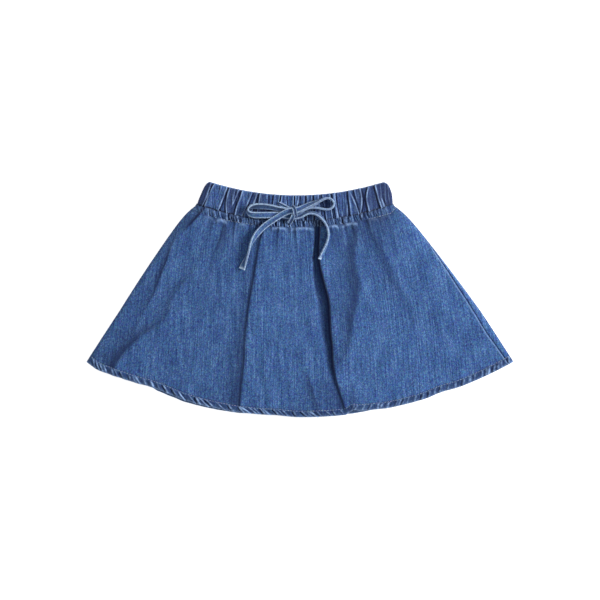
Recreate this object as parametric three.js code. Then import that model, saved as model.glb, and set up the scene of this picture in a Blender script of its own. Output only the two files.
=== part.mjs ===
// A toddler's pull-on denim skort, laid flat on its back panel with its front up: a flared skirt
// gathered into an elastic waistband, a tied drawstring, a narrow topstitched hem, and plain jersey
// shorts between the two skirt panels.
// Millimetres. +X is the right of the front view, +Y runs towards the waist, +Z is up from the surface.
// The origin is on that surface, at the middle of the garment's width and length.
import * as THREE from 'three';

const { clamp, lerp, smoothstep } = THREE.MathUtils;

// Driving sizes
const DENIM = 1.2; // wall of a skirt panel
const JERSEY = 1.0; // wall of the shorts
const CASING = 3.0; // wall of the waistband: denim folded round the elastic
const GAP = 0.3; // between two pieces that touch
const HIP_SPRING = 7; // how far the sides swing out just under the waistband
const HIP_DROP = 0.05; // the share of the length in which they do so
const SIDE_BOW = 3; // how far they bow out beyond a straight line halfway down
const BAND_SHIFT = -3.4; // the waist lies a little left of the hem's middle: its top edge by this
const WAIST_SHIFT = -5.7; // and its seam by this
const SHIFT_END = 0.68; // the share of the length below which the skirt isn't shifted
const SEAM_STRIP = 6.8; // seam allowance pressed down under the waistband and topstitched
const SEAM_STRIP_END = 5.8; // the same at the side edges, where it rolls away
const HEM_DEPTH = 6.6; // the turned-up hem
const GATHERS = 29; // gathers across the front
const HEM_ROPES = 42; // slanted puckers along the front hem
const STACK = { back: DENIM, shortsBack: DENIM + GAP, shortsFront: DENIM + 2 * GAP + JERSEY };
const FRONT_FLOOR = STACK.shortsFront + JERSEY + GAP; // underside of the front over the shorts

// The garment's level lines: circular arcs whose ends stand higher than their middle by the dip
const ARCS = {
  bandTop: { half: 99.6, y: 114.9, dip: 15 },
  waistSeam: { half: 107.7, y: 86.8, dip: 17.7 },
  hem: { half: 234.4, y: -128.2, dip: 60.5 },
};

// How far each panel's hem stands above the hem's arc, from left to right. The back shows 1 or 2 mm below
// the front where its figure is the lower one.
const HEM_EDGE = [
  { across: -1, front: -0.5, back: 0 },
  { across: -0.95, front: -2.2, back: 0 },
  { across: -0.88, front: -0.3, back: 1 },
  { across: -0.83, front: 1.2, back: 2.2 },
  { across: -0.77, front: 2.5, back: 3.6 },
  { across: -0.71, front: 4.2, back: 4.8 },
  { across: -0.66, front: 4.5, back: 2.3 },
  { across: -0.6, front: 3.3, back: 1 },
  { across: -0.54, front: 1.7, back: -0.6 },
  { across: -0.43, front: 1, back: -0.9 },
  { across: -0.3, front: 0.6, back: -0.6 },
  { across: -0.18, front: 0.9, back: 1.6 },
  { across: -0.12, front: 1.3, back: 1.9 },
  { across: 0, front: -0.2, back: 0.4 },
  { across: 0.21, front: -0.3, back: 0.4 },
  { across: 0.25, front: 3.9, back: 0 },
  { across: 0.29, front: 2.3, back: 0.4 },
  { across: 0.34, front: 1.4, back: 1 },
  { across: 0.42, front: 0, back: 0.5 },
  { across: 0.58, front: 0, back: 0.2 },
  { across: 0.66, front: 1.7, back: 1.9 },
  { across: 0.76, front: 0, back: 0.2 },
  { across: 1, front: 0, back: 0 },
];

// Folds of the front. line is where each crest runs, as [x, y] on the plan from the waist down. Left of it
// the cloth climbs over ramp, and right of it the crest sinks back over fade. A deep fold also has a trench
// of that width on its left. rise, ramp, trench and width are read evenly down the line.
const FOLDS = [
  {
    name: 'edge',
    line: [[-138, 66], [-148, 43], [-157, 21], [-164, 2], [-172, -14], [-179, -29]],
    rise: [1, 1.5, 1.5, 1.1, 0.3], ramp: [4, 4, 5], fade: 14,
  },
  {
    name: 'left',
    line: [
      [-109, 48], [-120, 29], [-134, 13], [-141, 2], [-146, -14], [-156, -27], [-172, -37], [-183, -47],
      [-193, -57], [-201, -68], [-206, -79],
    ],
    rise: [0.6, 1.5, 2, 3.8, 4], ramp: [5, 5, 6, 10, 12], fade: 30,
  },
  {
    name: 'soft_left',
    line: [[-77, 85], [-83, 65], [-90, 49], [-97, 30], [-102, 10]],
    rise: [2, 1.8, 1.1, 0.5, 0], ramp: [7, 8, 9], fade: 18,
  },
  {
    name: 'centre_left',
    line: [
      [-40, 74], [-43, 65], [-45, 54], [-47.6, 38], [-50.5, 21], [-54, 0], [-56, -14], [-58, -28],
      [-59.4, -44], [-60, -66], [-62.7, -88], [-65, -112],
    ],
    rise: [2.6, 3.2, 3.2, 3.6, 3.4], ramp: [7, 6, 7, 11, 12], fade: 55,
    trench: [0.9, 0.7, 0.5, 0.5, 0.5], width: [5, 4, 4],
  },
  {
    name: 'centre_right',
    line: [
      [23.7, 80], [23.7, 41], [28.8, 19], [33.6, 0], [34.7, -17], [35.5, -33], [37.5, -50], [38.4, -70],
      [41.3, -88], [46, -105], [48.6, -114],
    ],
    rise: [2, 2.4, 2.4, 2.6, 2.6], ramp: [2, 2, 2, 5, 11], fade: 30,
    trench: [4.6, 4.8, 4.8, 4.8, 4.6, 3.2, 1.2], width: [6.8, 8, 14, 13.5, 10, 7, 7],
  },
  {
    name: 'inner_right',
    line: [
      [63, 79], [61, 65], [59, 49], [60.5, 32], [63.6, 19], [61.6, 0], [59, -14], [56, -33], [53.4, -48],
      [49, -60], [43.5, -71],
    ],
    rise: [1.6, 2.3, 2.4, 2.4, 0.8], ramp: [8, 9, 9, 6, 4], fade: 16,
  },
  {
    name: 'outer_right',
    line: [[71, 88], [84, 66], [96, 40], [107, 15], [117, -2], [127, -22]],
    rise: [1.8, 1.7, 1.4, 0.9, 0.3], ramp: [4, 4, 4, 6], fade: 26,
  },
  {
    name: 'hem_dimple',
    line: [[6, -73], [9.4, -86], [13.8, -100], [18.2, -114]],
    rise: [0.3, 1.5, 1.8, 1.3], ramp: [3, 3, 4], fade: 12,
  },
];
const CREASE_COLUMNS = [-16, -12, -8.5, -5, -2, 0, 2.5, 6, 11, 18]; // columns beside the two deep folds
const SPANS = { left: 18, centre: 8, right: 20 }; // columns between them and out to the sides
const CREASE_ROWS = [0.11, 0.17, 0.24, 0.31, 0.38, 0.45, 0.52, 0.6, 0.68, 0.76, 0.83, 0.9];

// The value at share t of evenly spaced readings, on a smooth curve through them.
function along(readings, t) {
  const at = clamp(t, 0, 1) * (readings.length - 1);
  const i = Math.min(Math.floor(at), readings.length - 2);
  const f = at - i;
  const [a, b, c, d] = [-1, 0, 1, 2].map((k) => readings[clamp(i + k, 0, readings.length - 1)]);
  return b + 0.5 * f * (c - a + f * (2 * a - 5 * b + 4 * c - d + f * (3 * (b - c) + d - a)));
}

// How high an arc stands at x.
function arcY({ half, y, dip }, x) {
  const radius = (half * half + dip * dip) / (2 * dip);
  return y + radius - Math.sqrt(radius * radius - x * x);
}

// x of a line of [x, y] places at height y: a smooth curve through them, and straight on beyond its ends.
function lineX(line, y) {
  const last = line.length - 1;
  const slope = (k) => {
    const [a, b] = [line[Math.max(k - 1, 0)], line[Math.min(k + 1, last)]];
    return (b[0] - a[0]) / (b[1] - a[1]);
  };
  if (y >= line[0][1]) return line[0][0] + slope(0) * (y - line[0][1]);
  if (y <= line[last][1]) return line[last][0] + slope(last) * (y - line[last][1]);
  const i = line.findIndex((place) => place[1] < y) - 1;
  const [[x0, y0], [x1, y1]] = [line[i], line[i + 1]];
  const f = (y - y0) / (y1 - y0);
  const eased = f * f * (3 - 2 * f);
  const leaving = f * (1 - f) * (1 - f) * slope(i);
  const arriving = f * f * (f - 1) * slope(i + 1);
  return lerp(x0, x1, eased) + (leaving + arriving) * (y1 - y0);
}

// Gathers: rounded ridges with narrow valleys, unevenly spaced. share runs from 0 to 1 across.
function gatherPhase(share) {
  const uneven = 0.3 * Math.sin(6 * Math.PI * share) + 0.2 * (Math.sin(46 * share + 1) - Math.sin(1));
  return GATHERS * share + uneven;
}
function gather(phase) {
  return Math.abs(Math.sin(Math.PI * phase)) ** 0.7;
}

// Shares at which the gathers' ridges and valleys fall, perGather to each.
function gatherShares(perGather) {
  const last = gatherPhase(1);
  const count = Math.round(last) * perGather;
  return Array.from({ length: count + 1 }, (_, k) => {
    let [low, high] = [0, 1];
    for (let step = 0; step < 30; step++) {
      const middle = (low + high) / 2;
      if (gatherPhase(middle) * count < k * last) low = middle;
      else high = middle;
    }
    return (low + high) / 2;
  });
}

// The skirt panel's plan: across runs from -1 to 1, down from 0 at the waist seam to 1 at the hem. side
// is front or back.
function halfWidth(down) {
  const spring = HIP_SPRING * (1 - Math.exp(-down / HIP_DROP)) * (1 - down);
  return lerp(ARCS.waistSeam.half, ARCS.hem.half, down) + spring + SIDE_BOW * Math.sin(Math.PI * down);
}
function hemLift(side, across) {
  const i = clamp(HEM_EDGE.findIndex((row) => row.across > across), 1, HEM_EDGE.length - 1);
  const [from, to] = [HEM_EDGE[i - 1], HEM_EDGE[i]];
  return lerp(from[side], to[side], smoothstep(across, from.across, to.across));
}
function planPoint(side, across, down) {
  const top = arcY(ARCS.waistSeam, ARCS.waistSeam.half * across) - GAP;
  const bottom = arcY(ARCS.hem, ARCS.hem.half * across) + hemLift(side, across);
  const shift = WAIST_SHIFT * clamp(1 - down / SHIFT_END, 0, 1);
  return new THREE.Vector2(halfWidth(down) * across + shift, lerp(top, bottom, down));
}
function panelLength(across) {
  return planPoint('front', across, 0).y - planPoint('front', across, 1).y;
}
function stripShare(across) {
  return lerp(SEAM_STRIP, SEAM_STRIP_END, across * across) / panelLength(across);
}

// One fold's height at a point of the front.
function foldHeight(fold, x, y) {
  const { line, rise, ramp, fade, trench = [0, 0], width = [0, 0] } = fold;
  const [top, bottom] = [line[0][1], line.at(-1)[1]];
  const here = smoothstep(y, bottom - 14, bottom) * (1 - smoothstep(y, top, top + 14));
  const t = (top - y) / (top - bottom);
  const slant = (lineX(line, y + 1) - lineX(line, y - 1)) / 2;
  const beside = (x - lineX(line, y)) / Math.hypot(1, slant);
  const crest = Math.exp(Math.min(beside, 0) / along(ramp, t) - Math.max(beside, 0) / fade);
  const edge = -along(width, t);
  const ditch = smoothstep(beside, edge - 1.6, edge + 0.6) * (1 - smoothstep(beside, -2, 0.2));
  return here * (along(rise, t) * crest - along(trench, t) * ditch);
}

// The height of the front panel's outer side.
function frontHeight(across, down) {
  const half = halfWidth(down);
  const fromEdge = (1 - Math.abs(across)) * half;
  const { x, y } = planPoint('front', across, down);
  const rounded = 1 - Math.exp(-fromEdge / 5);
  const base = DENIM + GAP + DENIM + 2.4 * rounded + 2.8 * rounded * Math.exp(-((across * half / 135) ** 4));
  const folds = FOLDS.reduce((sum, fold) => sum + foldHeight(fold, x, y), 0);

  const below = (down - stripShare(across)) * panelLength(across); // under the topstitching
  const phase = gatherPhase((across + 1) / 2);
  const depth = below < 0 ? 0.6 : 0.9 * Math.exp(-below / 16);
  const gathers = depth * (gather(phase) - 0.5);
  const stitched = 0.7 * Math.exp(-((below / 1.6) ** 2));

  const fromHem = (1 - down) * panelLength(across);
  const inHem = 1 - smoothstep(fromHem, HEM_DEPTH - 1.5, HEM_DEPTH);
  const lean = Math.sign(across) * -0.9 * (fromHem / HEM_DEPTH);
  const rope = 0.5 + 0.5 * Math.cos(2 * Math.PI * ((HEM_ROPES * (across + 1)) / 2 + lean));
  const hem = inHem * (0.3 + 0.7 * rope);

  const free = base + rounded * (folds + gathers - stitched) + hem;
  return Math.max(free, frontFloor(across, down) + DENIM);
}

// The lowest the front's underside comes: on the back panel, and on the shorts where they lie.
function frontFloor(across, down) {
  const { x } = planPoint('front', across, down);
  const fromEdge = (1 - Math.abs(across)) * halfWidth(down);
  const beside = smoothstep(Math.abs(x - WAIST_SHIFT), SHORTS.legHalf + 1, SHORTS.legHalf + 12);
  const overShorts = smoothstep(fromEdge, 1, 9) * (1 - beside) * (1 - smoothstep(down, 0.82, 0.87));
  return lerp(DENIM + GAP, FRONT_FLOOR, overShorts);
}

// A point of the front's outer side, and the same point moved in through the wall.
function frontPair(across, down) {
  const at = (a, d) => {
    const p = planPoint('front', a, d);
    return new THREE.Vector3(p.x, p.y, frontHeight(a, d));
  };
  const small = 0.004;
  const outer = at(across, down);
  const side = at(Math.min(across + small, 1), down).sub(at(Math.max(across - small, -1), down));
  const up = at(across, Math.max(down - small, 0)).sub(at(across, Math.min(down + small, 1)));
  const normal = side.cross(up).normalize();
  const tilt = Math.max(normal.z, 0.7); // keeps the wall's two sides in step on the steep folds
  const inner = outer.clone().setZ(Math.max(outer.z - DENIM / tilt, frontFloor(across, down)));
  return { across, outer, inner };
}

// How far across a fold's line lies in a row.
function foldAcross(name, down) {
  const { line } = FOLDS.find((fold) => fold.name === name);
  let across = 0;
  for (let step = 0; step < 8; step++) {
    const { x, y } = planPoint('front', across, down);
    across += (lineX(line, y) - x) / halfWidth(down);
  }
  return across;
}

// Columns of a row between the waist and the hem: close beside the two deep folds.
function foldColumns(down) {
  const half = halfWidth(down);
  const [left, right] = ['centre_left', 'centre_right'].map((name) => foldAcross(name, down));
  const [first, last] = [CREASE_COLUMNS[0] / half, CREASE_COLUMNS.at(-1) / half];
  const spread = (from, to, count) =>
    Array.from({ length: count }, (_, k) => lerp(from, to, (k + 1) / (count + 1)));
  const beside = (line) => CREASE_COLUMNS.map((c) => line + c / half);
  return [
    -1,
    ...spread(-1, left + first, SPANS.left),
    ...beside(left),
    ...spread(left + last, right + first, SPANS.centre),
    ...beside(right),
    ...spread(right + last, 1, SPANS.right),
    1,
  ];
}

// Triangles between two rows of columns. Rows of one length are joined column to column, others by
// how far across their columns lie.
function joinRows(upper, lower, startUpper, startLower) {
  const faces = [];
  let [i, j] = [0, 0];
  while (i < upper.length - 1 || j < lower.length - 1) {
    const sameCount = upper.length === lower.length;
    const next = (row, k) => (k + 1 < row.length ? (row[k].across + row[k + 1].across) / 2 : Infinity);
    const stepUpper = sameCount ? i <= j : next(upper, i) < next(lower, j);
    if (stepUpper && i < upper.length - 1) {
      faces.push([startUpper + i, startLower + j, startUpper + i + 1]);
      i++;
    } else {
      faces.push([startUpper + i, startLower + j, startLower + j + 1]);
      j++;
    }
  }
  return faces;
}

function geometryOf(points, faces) {
  const geometry = new THREE.BufferGeometry();
  geometry.setAttribute('position', new THREE.Float32BufferAttribute(points.flatMap((p) => p.toArray()), 3));
  geometry.setIndex(faces.flat());
  geometry.computeVertexNormals();
  return geometry;
}

// A closed wall of cloth from rows of { across, outer, inner }, the first row nearest the waist.
function clothWall(rows) {
  const starts = rows.map((_, r) => rows.slice(0, r).reduce((sum, row) => sum + row.length, 0));
  const inside = rows.reduce((sum, row) => sum + row.length, 0);
  const points = [...rows.flat().map((c) => c.outer), ...rows.flat().map((c) => c.inner)];
  const faces = [];
  for (let r = 0; r + 1 < rows.length; r++) {
    for (const [a, b, c] of joinRows(rows[r], rows[r + 1], starts[r], starts[r + 1])) {
      faces.push([a, b, c], [inside + a, inside + c, inside + b]);
    }
  }
  const last = rows.length - 1;
  const rim = [
    ...rows[0].map((_, k) => starts[0] + k),
    ...rows.slice(1, last).map((row, r) => starts[r + 1] + row.length - 1),
    ...rows[last].map((_, k) => starts[last] + k).reverse(),
    ...rows.slice(1, last).map((_, r) => starts[r + 1]).reverse(),
  ];
  rim.forEach((a, k) => {
    const b = rim[(k + 1) % rim.length];
    faces.push([a, b, inside + b], [a, inside + b, inside + a]);
  });
  return geometryOf(points, faces);
}

// The skirt's front: dense rows for the gathers, folds down the middle, dense rows for the hem.
function skirtFront() {
  const gatherColumns = gatherShares(4).map((share) => 2 * share - 1);
  const hemColumns = Array.from({ length: HEM_ROPES * 3 + 1 }, (_, k) => (2 * k) / (HEM_ROPES * 3) - 1);
  const stripRows = [0, 0.55, 1, 1.35, 2.1].map((k) =>
    gatherColumns.map((across) => frontPair(across, k * stripShare(across))),
  );
  const foldRows = CREASE_ROWS.map((down) => foldColumns(down).map((across) => frontPair(across, down)));
  const hemRows = [1.25, 0.95, 0.55, 0].map((k) =>
    hemColumns.map((across) => frontPair(across, 1 - (k * HEM_DEPTH) / panelLength(across))),
  );
  return clothWall([...stripRows, ...foldRows, ...hemRows]);
}

// The skirt's back lies flat, so its outer side is plain.
function skirtBack() {
  const columns = Array.from({ length: 61 }, (_, k) => (2 * k) / 60 - 1);
  const rows = [0, 0.06, 0.14, 0.3, 0.5, 0.7, 0.88, 1].map((down) =>
    columns.map((across) => {
      const { x, y } = planPoint('back', across, down);
      return { across, outer: new THREE.Vector3(x, y, DENIM), inner: new THREE.Vector3(x, y, 0) };
    }),
  );
  return clothWall(rows);
}

// The waistband is a flattened tube of casing: gathered on top, flat where it rests, round at its ends.
const BAND = {
  height: 7.2, // of the flattened tube, without its gathers
  ridge: 2.2, // of a gather
  rows: [0, 0.06, 0.3, 0.7, 0.94, 1],
  edge: [0.55, 0.95, 1, 1, 0.95, 0.5], // how full the casing is at each row
  endSteps: 6,
  backSteps: 40,
  leftCorner: { end: 99.6, wide: 6, deep: 2.4 }, // where the top edge ends, and how the corner is rounded
  rightCorner: { end: 103.7, wide: 10.3, deep: 12 },
};
function bandRing(v, full) {
  const [top, seam] = [ARCS.bandTop, ARCS.waistSeam];
  const radius = BAND.height / 2;
  const shift = lerp(BAND_SHIFT, WAIST_SHIFT, v);
  const cornerOf = (side) => (side > 0 ? BAND.rightCorner : BAND.leftCorner);
  const reach = (side) => lerp(cornerOf(side).end, seam.half, v ** 0.8) - radius;
  const heightAt = (share, x) => {
    const s = 2 * share - 1;
    const { end, wide, deep } = cornerOf(s);
    const round = deep * clamp((Math.abs(x) - end) / wide + 1, 0, 1) ** 2.1;
    return lerp(arcY(top, end * s) - round, arcY(seam, seam.half * s), v);
  };
  const slack = (1 - full) * 1.2; // the casing's edges are folded, so it thins towards them
  const ring = [];
  const add = (share, x, outerZ, innerZ, outX = x, inX = x) => {
    const y = heightAt(share, outX);
    ring.push({
      outer: new THREE.Vector3(outX + shift, y, outerZ),
      inner: new THREE.Vector3(inX + shift, y, innerZ),
    });
  };
  for (const share of gatherShares(4)) {
    const s = 2 * share - 1;
    const nearEnd = smoothstep(Math.min(share, 1 - share), 0, 0.02);
    const phase = gatherPhase(share) + 0.25 * Math.sin(9 * share) * (v - 0.5);
    const ridge = BAND.ridge * full * nearEnd * gather(phase);
    add(share, reach(s) * s, BAND.height - slack + ridge, BAND.height - CASING);
  }
  const turn = (side, share, fromTop) => {
    for (let k = 1; k < BAND.endSteps; k++) {
      const angle = (Math.PI * k) / BAND.endSteps;
      const up = (fromTop ? 1 : -1) * Math.cos(angle);
      const out = side * Math.sin(angle);
      const end = side * reach(side);
      const outerZ = radius + up * (up > 0 ? radius - slack : radius);
      const innerZ = radius + up * (radius - CASING);
      add(share, end, outerZ, innerZ, end + out * radius, end + out * (radius - CASING));
    }
  };
  turn(1, 1, true);
  for (let k = 0; k <= BAND.backSteps; k++) {
    const share = 1 - k / BAND.backSteps;
    const s = 2 * share - 1;
    add(share, reach(s) * s, 0, CASING);
  }
  turn(-1, 0, false);
  return ring;
}
function waistband() {
  const rings = BAND.rows.map((v, k) => bandRing(v, BAND.edge[k]));
  const around = rings[0].length;
  const inside = rings.length * around;
  const low = inside - around;
  const points = [...rings.flat().map((c) => c.outer), ...rings.flat().map((c) => c.inner)];
  const faces = [];
  for (let k = 0; k < around; k++) {
    const next = (k + 1) % around;
    for (let r = 0; r + 1 < rings.length; r++) {
      const [a, b] = [r * around + k, r * around + next];
      const [c, d] = [a + around, b + around];
      faces.push([a, c, b], [b, c, d]);
      faces.push([inside + a, inside + b, inside + c], [inside + b, inside + d, inside + c]);
    }
    faces.push([k, next, inside + next], [k, inside + next, inside + k]);
    faces.push([low + k, inside + low + next, low + next], [low + k, inside + low + k, inside + low + next]);
  }
  return geometryOf(points, faces);
}

// Shorts: two flat panels, each with two legs, hung from the waist seam inside the skirt.
const SHORTS = {
  waistHalf: 88,
  hipHalf: 110,
  legHalf: 112,
  legY: -76,
  crotchY: -42,
  crotchRadius: 8,
  inseamX: 9, // of each leg, from the middle
};
function shortsPanel() {
  const s = SHORTS;
  const top = arcY(ARCS.waistSeam, s.waistHalf) - 2;
  const dip = 2 * (arcY(ARCS.waistSeam, 0) - 2) - top;
  const outline = new THREE.Shape();
  outline.moveTo(s.waistHalf, top);
  outline.quadraticCurveTo(0, dip, -s.waistHalf, top);
  outline.quadraticCurveTo(-s.hipHalf, 30, -s.hipHalf, s.crotchY);
  outline.lineTo(-s.legHalf, s.legY);
  outline.lineTo(-s.inseamX, s.legY);
  outline.lineTo(-s.inseamX, s.crotchY - s.crotchRadius);
  outline.quadraticCurveTo(-s.inseamX, s.crotchY, 0, s.crotchY);
  outline.quadraticCurveTo(s.inseamX, s.crotchY, s.inseamX, s.crotchY - s.crotchRadius);
  outline.lineTo(s.inseamX, s.legY);
  outline.lineTo(s.legHalf, s.legY);
  outline.lineTo(s.hipHalf, s.crotchY);
  outline.quadraticCurveTo(s.hipHalf, 30, s.waistHalf, top);
  return new THREE.ExtrudeGeometry(outline, { depth: JERSEY, bevelEnabled: false, curveSegments: 12 });
}

// Drawstring: a denim tape, tied in a bow over the waistband. Its loops and its right end lie half turned
// on edge, so they are narrower from above than the left end. Each route gives x, y and z of the middle.
const TAPE_THICK = 1.8;
const TAPE_CORNER = 0.5;
const DRAWSTRING = {
  loop_left: {
    width: 4.8,
    steps: 26,
    route: [
      [-13.6, 98.6, 11], [-25, 100.9, 10.9], [-38, 102.3, 10.9], [-50, 103, 10.8], [-56.4, 101.4, 10.8],
      [-57.9, 97.8, 10.8], [-54.4, 94.2, 10.8], [-46, 92.8, 10.8], [-34, 92.7, 10.9], [-22, 93.2, 11],
      [-13.8, 93.4, 11],
    ],
  },
  loop_right: {
    width: 4.8,
    steps: 26,
    route: [
      [-1.8, 99.4, 13], [7.7, 103.2, 13], [20.3, 108.3, 12.8], [28.7, 110.2, 12], [34.6, 107.7, 11.3],
      [35.6, 103, 11.1], [31.4, 99.9, 11.2], [21, 99.9, 11.2], [10, 99.2, 11.2], [-1.2, 96, 11.1],
    ],
  },
  end_left: {
    width: 7.4,
    steps: 18,
    route: [
      [-14.4, 96.4, 13.6], [-21.8, 92.8, 13.4], [-30, 88, 13.3], [-37, 82.6, 13.1], [-44, 75.8, 12.8],
      [-50.6, 66.6, 12.2], [-55.2, 56.7, 11.4], [-58.9, 44.7, 10.6], [-63, 32.9, 10.4],
    ],
  },
  end_right: {
    width: 5.2,
    steps: 20,
    route: [
      [-2.4, 88.8, 10.9], [3, 91, 10.9], [10.6, 93.2, 10.9], [18.7, 92.2, 11.4], [26, 86.4, 12.1],
      [30, 78.3, 12.5], [30.8, 70, 12.6], [28, 60, 12.7], [25, 51, 12.7], [22, 43.9, 12.6],
    ],
  },
  exit_left: { width: 2.6, steps: 4, route: [[-21.5, 105.4, 10.7], [-16, 103.6, 10.7], [-11.2, 102.2, 11]] },
  exit_right: { width: 2.6, steps: 5, route: [[19.5, 105.6, 10.7], [10, 103.6, 10.7], [0.4, 101.4, 10.7]] },
};
function tape({ width, route, steps }) {
  const [w, t, c] = [width / 2, TAPE_THICK / 2, TAPE_CORNER];
  const corners = [
    [-t, -w + c], [-t + c, -w], [t - c, -w], [t, -w + c], [t, w - c], [t - c, w], [-t + c, w], [-t, w - c],
  ];
  const section = new THREE.Shape(corners.map(([x, y]) => new THREE.Vector2(x, y)));
  const places = route.map((p) => new THREE.Vector3(...p));
  const extrudePath = new THREE.CatmullRomCurve3(places, false, 'centripetal');
  return new THREE.ExtrudeGeometry(section, { steps, extrudePath, bevelEnabled: false });
}

// The knot: a rounded lump of wrapped tape between the loops, its lower turn hanging under it.
const KNOT = { x: -7.6, y: 93.4, z: 12.7, halfWidth: 4.8, halfLength: 7.8, halfHeight: 2.9, lean: -0.12 };
function knot() {
  const lump = new THREE.SphereGeometry(1, 14, 8);
  lump.scale(KNOT.halfWidth, KNOT.halfLength, KNOT.halfHeight);
  return lump.rotateZ(KNOT.lean);
}

// Colours and finish
const finish = (color, roughness) => new THREE.MeshStandardMaterial({ color, roughness, metalness: 0 });
const denim = finish(0x3f66a0, 0.85);
const bandDenim = finish(0x34507f, 0.85);
const jersey = finish(0x2c4674, 0.9);
const tapeDenim = finish(0x5a7bab, 0.85);

const skort = new THREE.Group();
function add(name, geometry, material, parent = skort) {
  const mesh = new THREE.Mesh(geometry, material);
  mesh.name = name;
  parent.add(mesh);
  return mesh;
}

add('skirt_back', skirtBack(), denim);
add('shorts_back', shortsPanel(), jersey).position.set(WAIST_SHIFT, 0, STACK.shortsBack);
add('shorts_front', shortsPanel(), jersey).position.set(WAIST_SHIFT, 0, STACK.shortsFront);
add('skirt_front', skirtFront(), denim);
add('waistband', waistband(), bandDenim);

const drawstring = new THREE.Group();
skort.add(drawstring);
add('drawstring_knot', knot(), tapeDenim, drawstring).position.set(KNOT.x, KNOT.y, KNOT.z);
for (const [name, run] of Object.entries(DRAWSTRING)) {
  add(`drawstring_${name}`, tape(run), tapeDenim, drawstring);
}

export default skort;
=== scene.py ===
# %% [markdown]
# # A toddler's denim skort, laid flat
#
# The object is a flared denim skirt gathered into an elastic waistband, with a tied drawstring, a narrow
# topstitched hem and plain jersey shorts hidden between its two panels. It lies on its back with its
# front up, and the camera looks straight down on it.
#
# The script thinks in millimetres, because a maker does, and turns them to metres once, in the helper that
# makes a mesh.

import math

import bpy
import numpy as np
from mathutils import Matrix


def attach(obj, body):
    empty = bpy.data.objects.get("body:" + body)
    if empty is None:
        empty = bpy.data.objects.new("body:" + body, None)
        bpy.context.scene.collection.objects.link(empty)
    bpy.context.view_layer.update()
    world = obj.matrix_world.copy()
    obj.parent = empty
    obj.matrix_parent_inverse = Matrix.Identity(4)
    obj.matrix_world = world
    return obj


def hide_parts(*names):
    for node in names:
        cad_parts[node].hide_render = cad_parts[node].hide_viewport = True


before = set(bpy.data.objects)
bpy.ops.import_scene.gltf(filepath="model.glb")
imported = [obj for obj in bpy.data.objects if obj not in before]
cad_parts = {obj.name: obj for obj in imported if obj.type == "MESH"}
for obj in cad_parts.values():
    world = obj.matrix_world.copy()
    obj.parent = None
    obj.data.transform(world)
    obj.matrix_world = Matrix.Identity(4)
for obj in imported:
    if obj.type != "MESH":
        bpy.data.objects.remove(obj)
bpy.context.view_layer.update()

MM = 0.001
scene = bpy.context.scene
bpy.ops.object.select_all(action="DESELECT")

# %% [markdown]
# ## Camera, floor and light
#
# The photograph is a catalogue picture from straight above on white. A long lens from far away gives it
# nearly no perspective. The view is 657 mm wide, so one pixel of a 600 pixel picture is 1.1 mm.
#
# Folds in flat cloth are only a few millimetres high, so they show by light from the side. One large soft
# lamp stands low on the right, where the photograph's light comes from, and weaker ones fill the rest.
# The Standard view keeps white paper white and dyed cloth at the colours set in its material.

# %% Camera
VIEW_WIDTH = 0.657
CAMERA_HEIGHT = 2.4
CLOTH_LEVEL = 0.008
SENSOR_WIDTH = 36.0  # in mm, as in a full-frame camera

camera_data = bpy.data.cameras.new("camera")
camera_data.sensor_width = SENSOR_WIDTH
camera_data.lens = SENSOR_WIDTH * (CAMERA_HEIGHT - CLOTH_LEVEL) / VIEW_WIDTH
camera_data.clip_end = 20.0
camera = bpy.data.objects.new("camera", camera_data)
camera.location = (0.0, 0.0, CAMERA_HEIGHT)
scene.collection.objects.link(camera)
scene.camera = camera
scene.view_settings.view_transform = "Standard"
print("lens:", round(camera_data.lens, 1), "mm")

# %% Floor
FLOOR_SIZE = 8.0
FLOOR_DROP = 0.0004  # keeps the floor's face clear of the cloth's underside
bpy.ops.mesh.primitive_plane_add(size=FLOOR_SIZE, location=(0, 0, -FLOOR_DROP))
floor = bpy.context.object
floor.name = "floor"

# %% Lights
ROOM_LIGHT = 0.28
LIGHTS = [
    # name, place, size and power of each square lamp, all aimed at the middle of the skirt
    {"name": "key", "place": (2.0, 0.42, 1.32), "size": 1.0, "power": 70.0},
    {"name": "fill", "place": (-0.9, 0.9, 1.9), "size": 1.6, "power": 7.0},
    {"name": "front", "place": (0.1, -1.6, 1.8), "size": 1.4, "power": 4.0},
]
for row in LIGHTS:
    lamp_data = bpy.data.lights.new(row["name"], "AREA")
    lamp_data.size = row["size"]
    lamp_data.energy = row["power"]
    lamp = bpy.data.objects.new(row["name"], lamp_data)
    lamp.location = row["place"]
    lamp.rotation_euler = (-lamp.location).to_track_quat("-Z", "Y").to_euler()
    scene.collection.objects.link(lamp)

world = bpy.data.worlds.new("studio")
world.use_nodes = True
background = world.node_tree.nodes["Background"]
background.inputs["Color"].default_value = (1.0, 1.0, 1.0, 1.0)
background.inputs["Strength"].default_value = ROOM_LIGHT
scene.world = world
print("lamps:", [row["name"] for row in LIGHTS])

# %% [markdown]
# ## The cut of the garment
#
# A flat garment is easiest to describe as a sheet with two coordinates of its own. `across` runs from -1 at
# the left side seam to 1 at the right one, and `down` from 0 at the waist seam to 1 at the hem. One function
# turns them into a place on the table. The level lines are arcs, as a flared skirt's are. The table of the
# hem's edge is where front and back part by a millimetre or two.
#
# All curves are worked out for whole arrays of points at once with numpy, which is far quicker than a loop
# over vertices.

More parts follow.
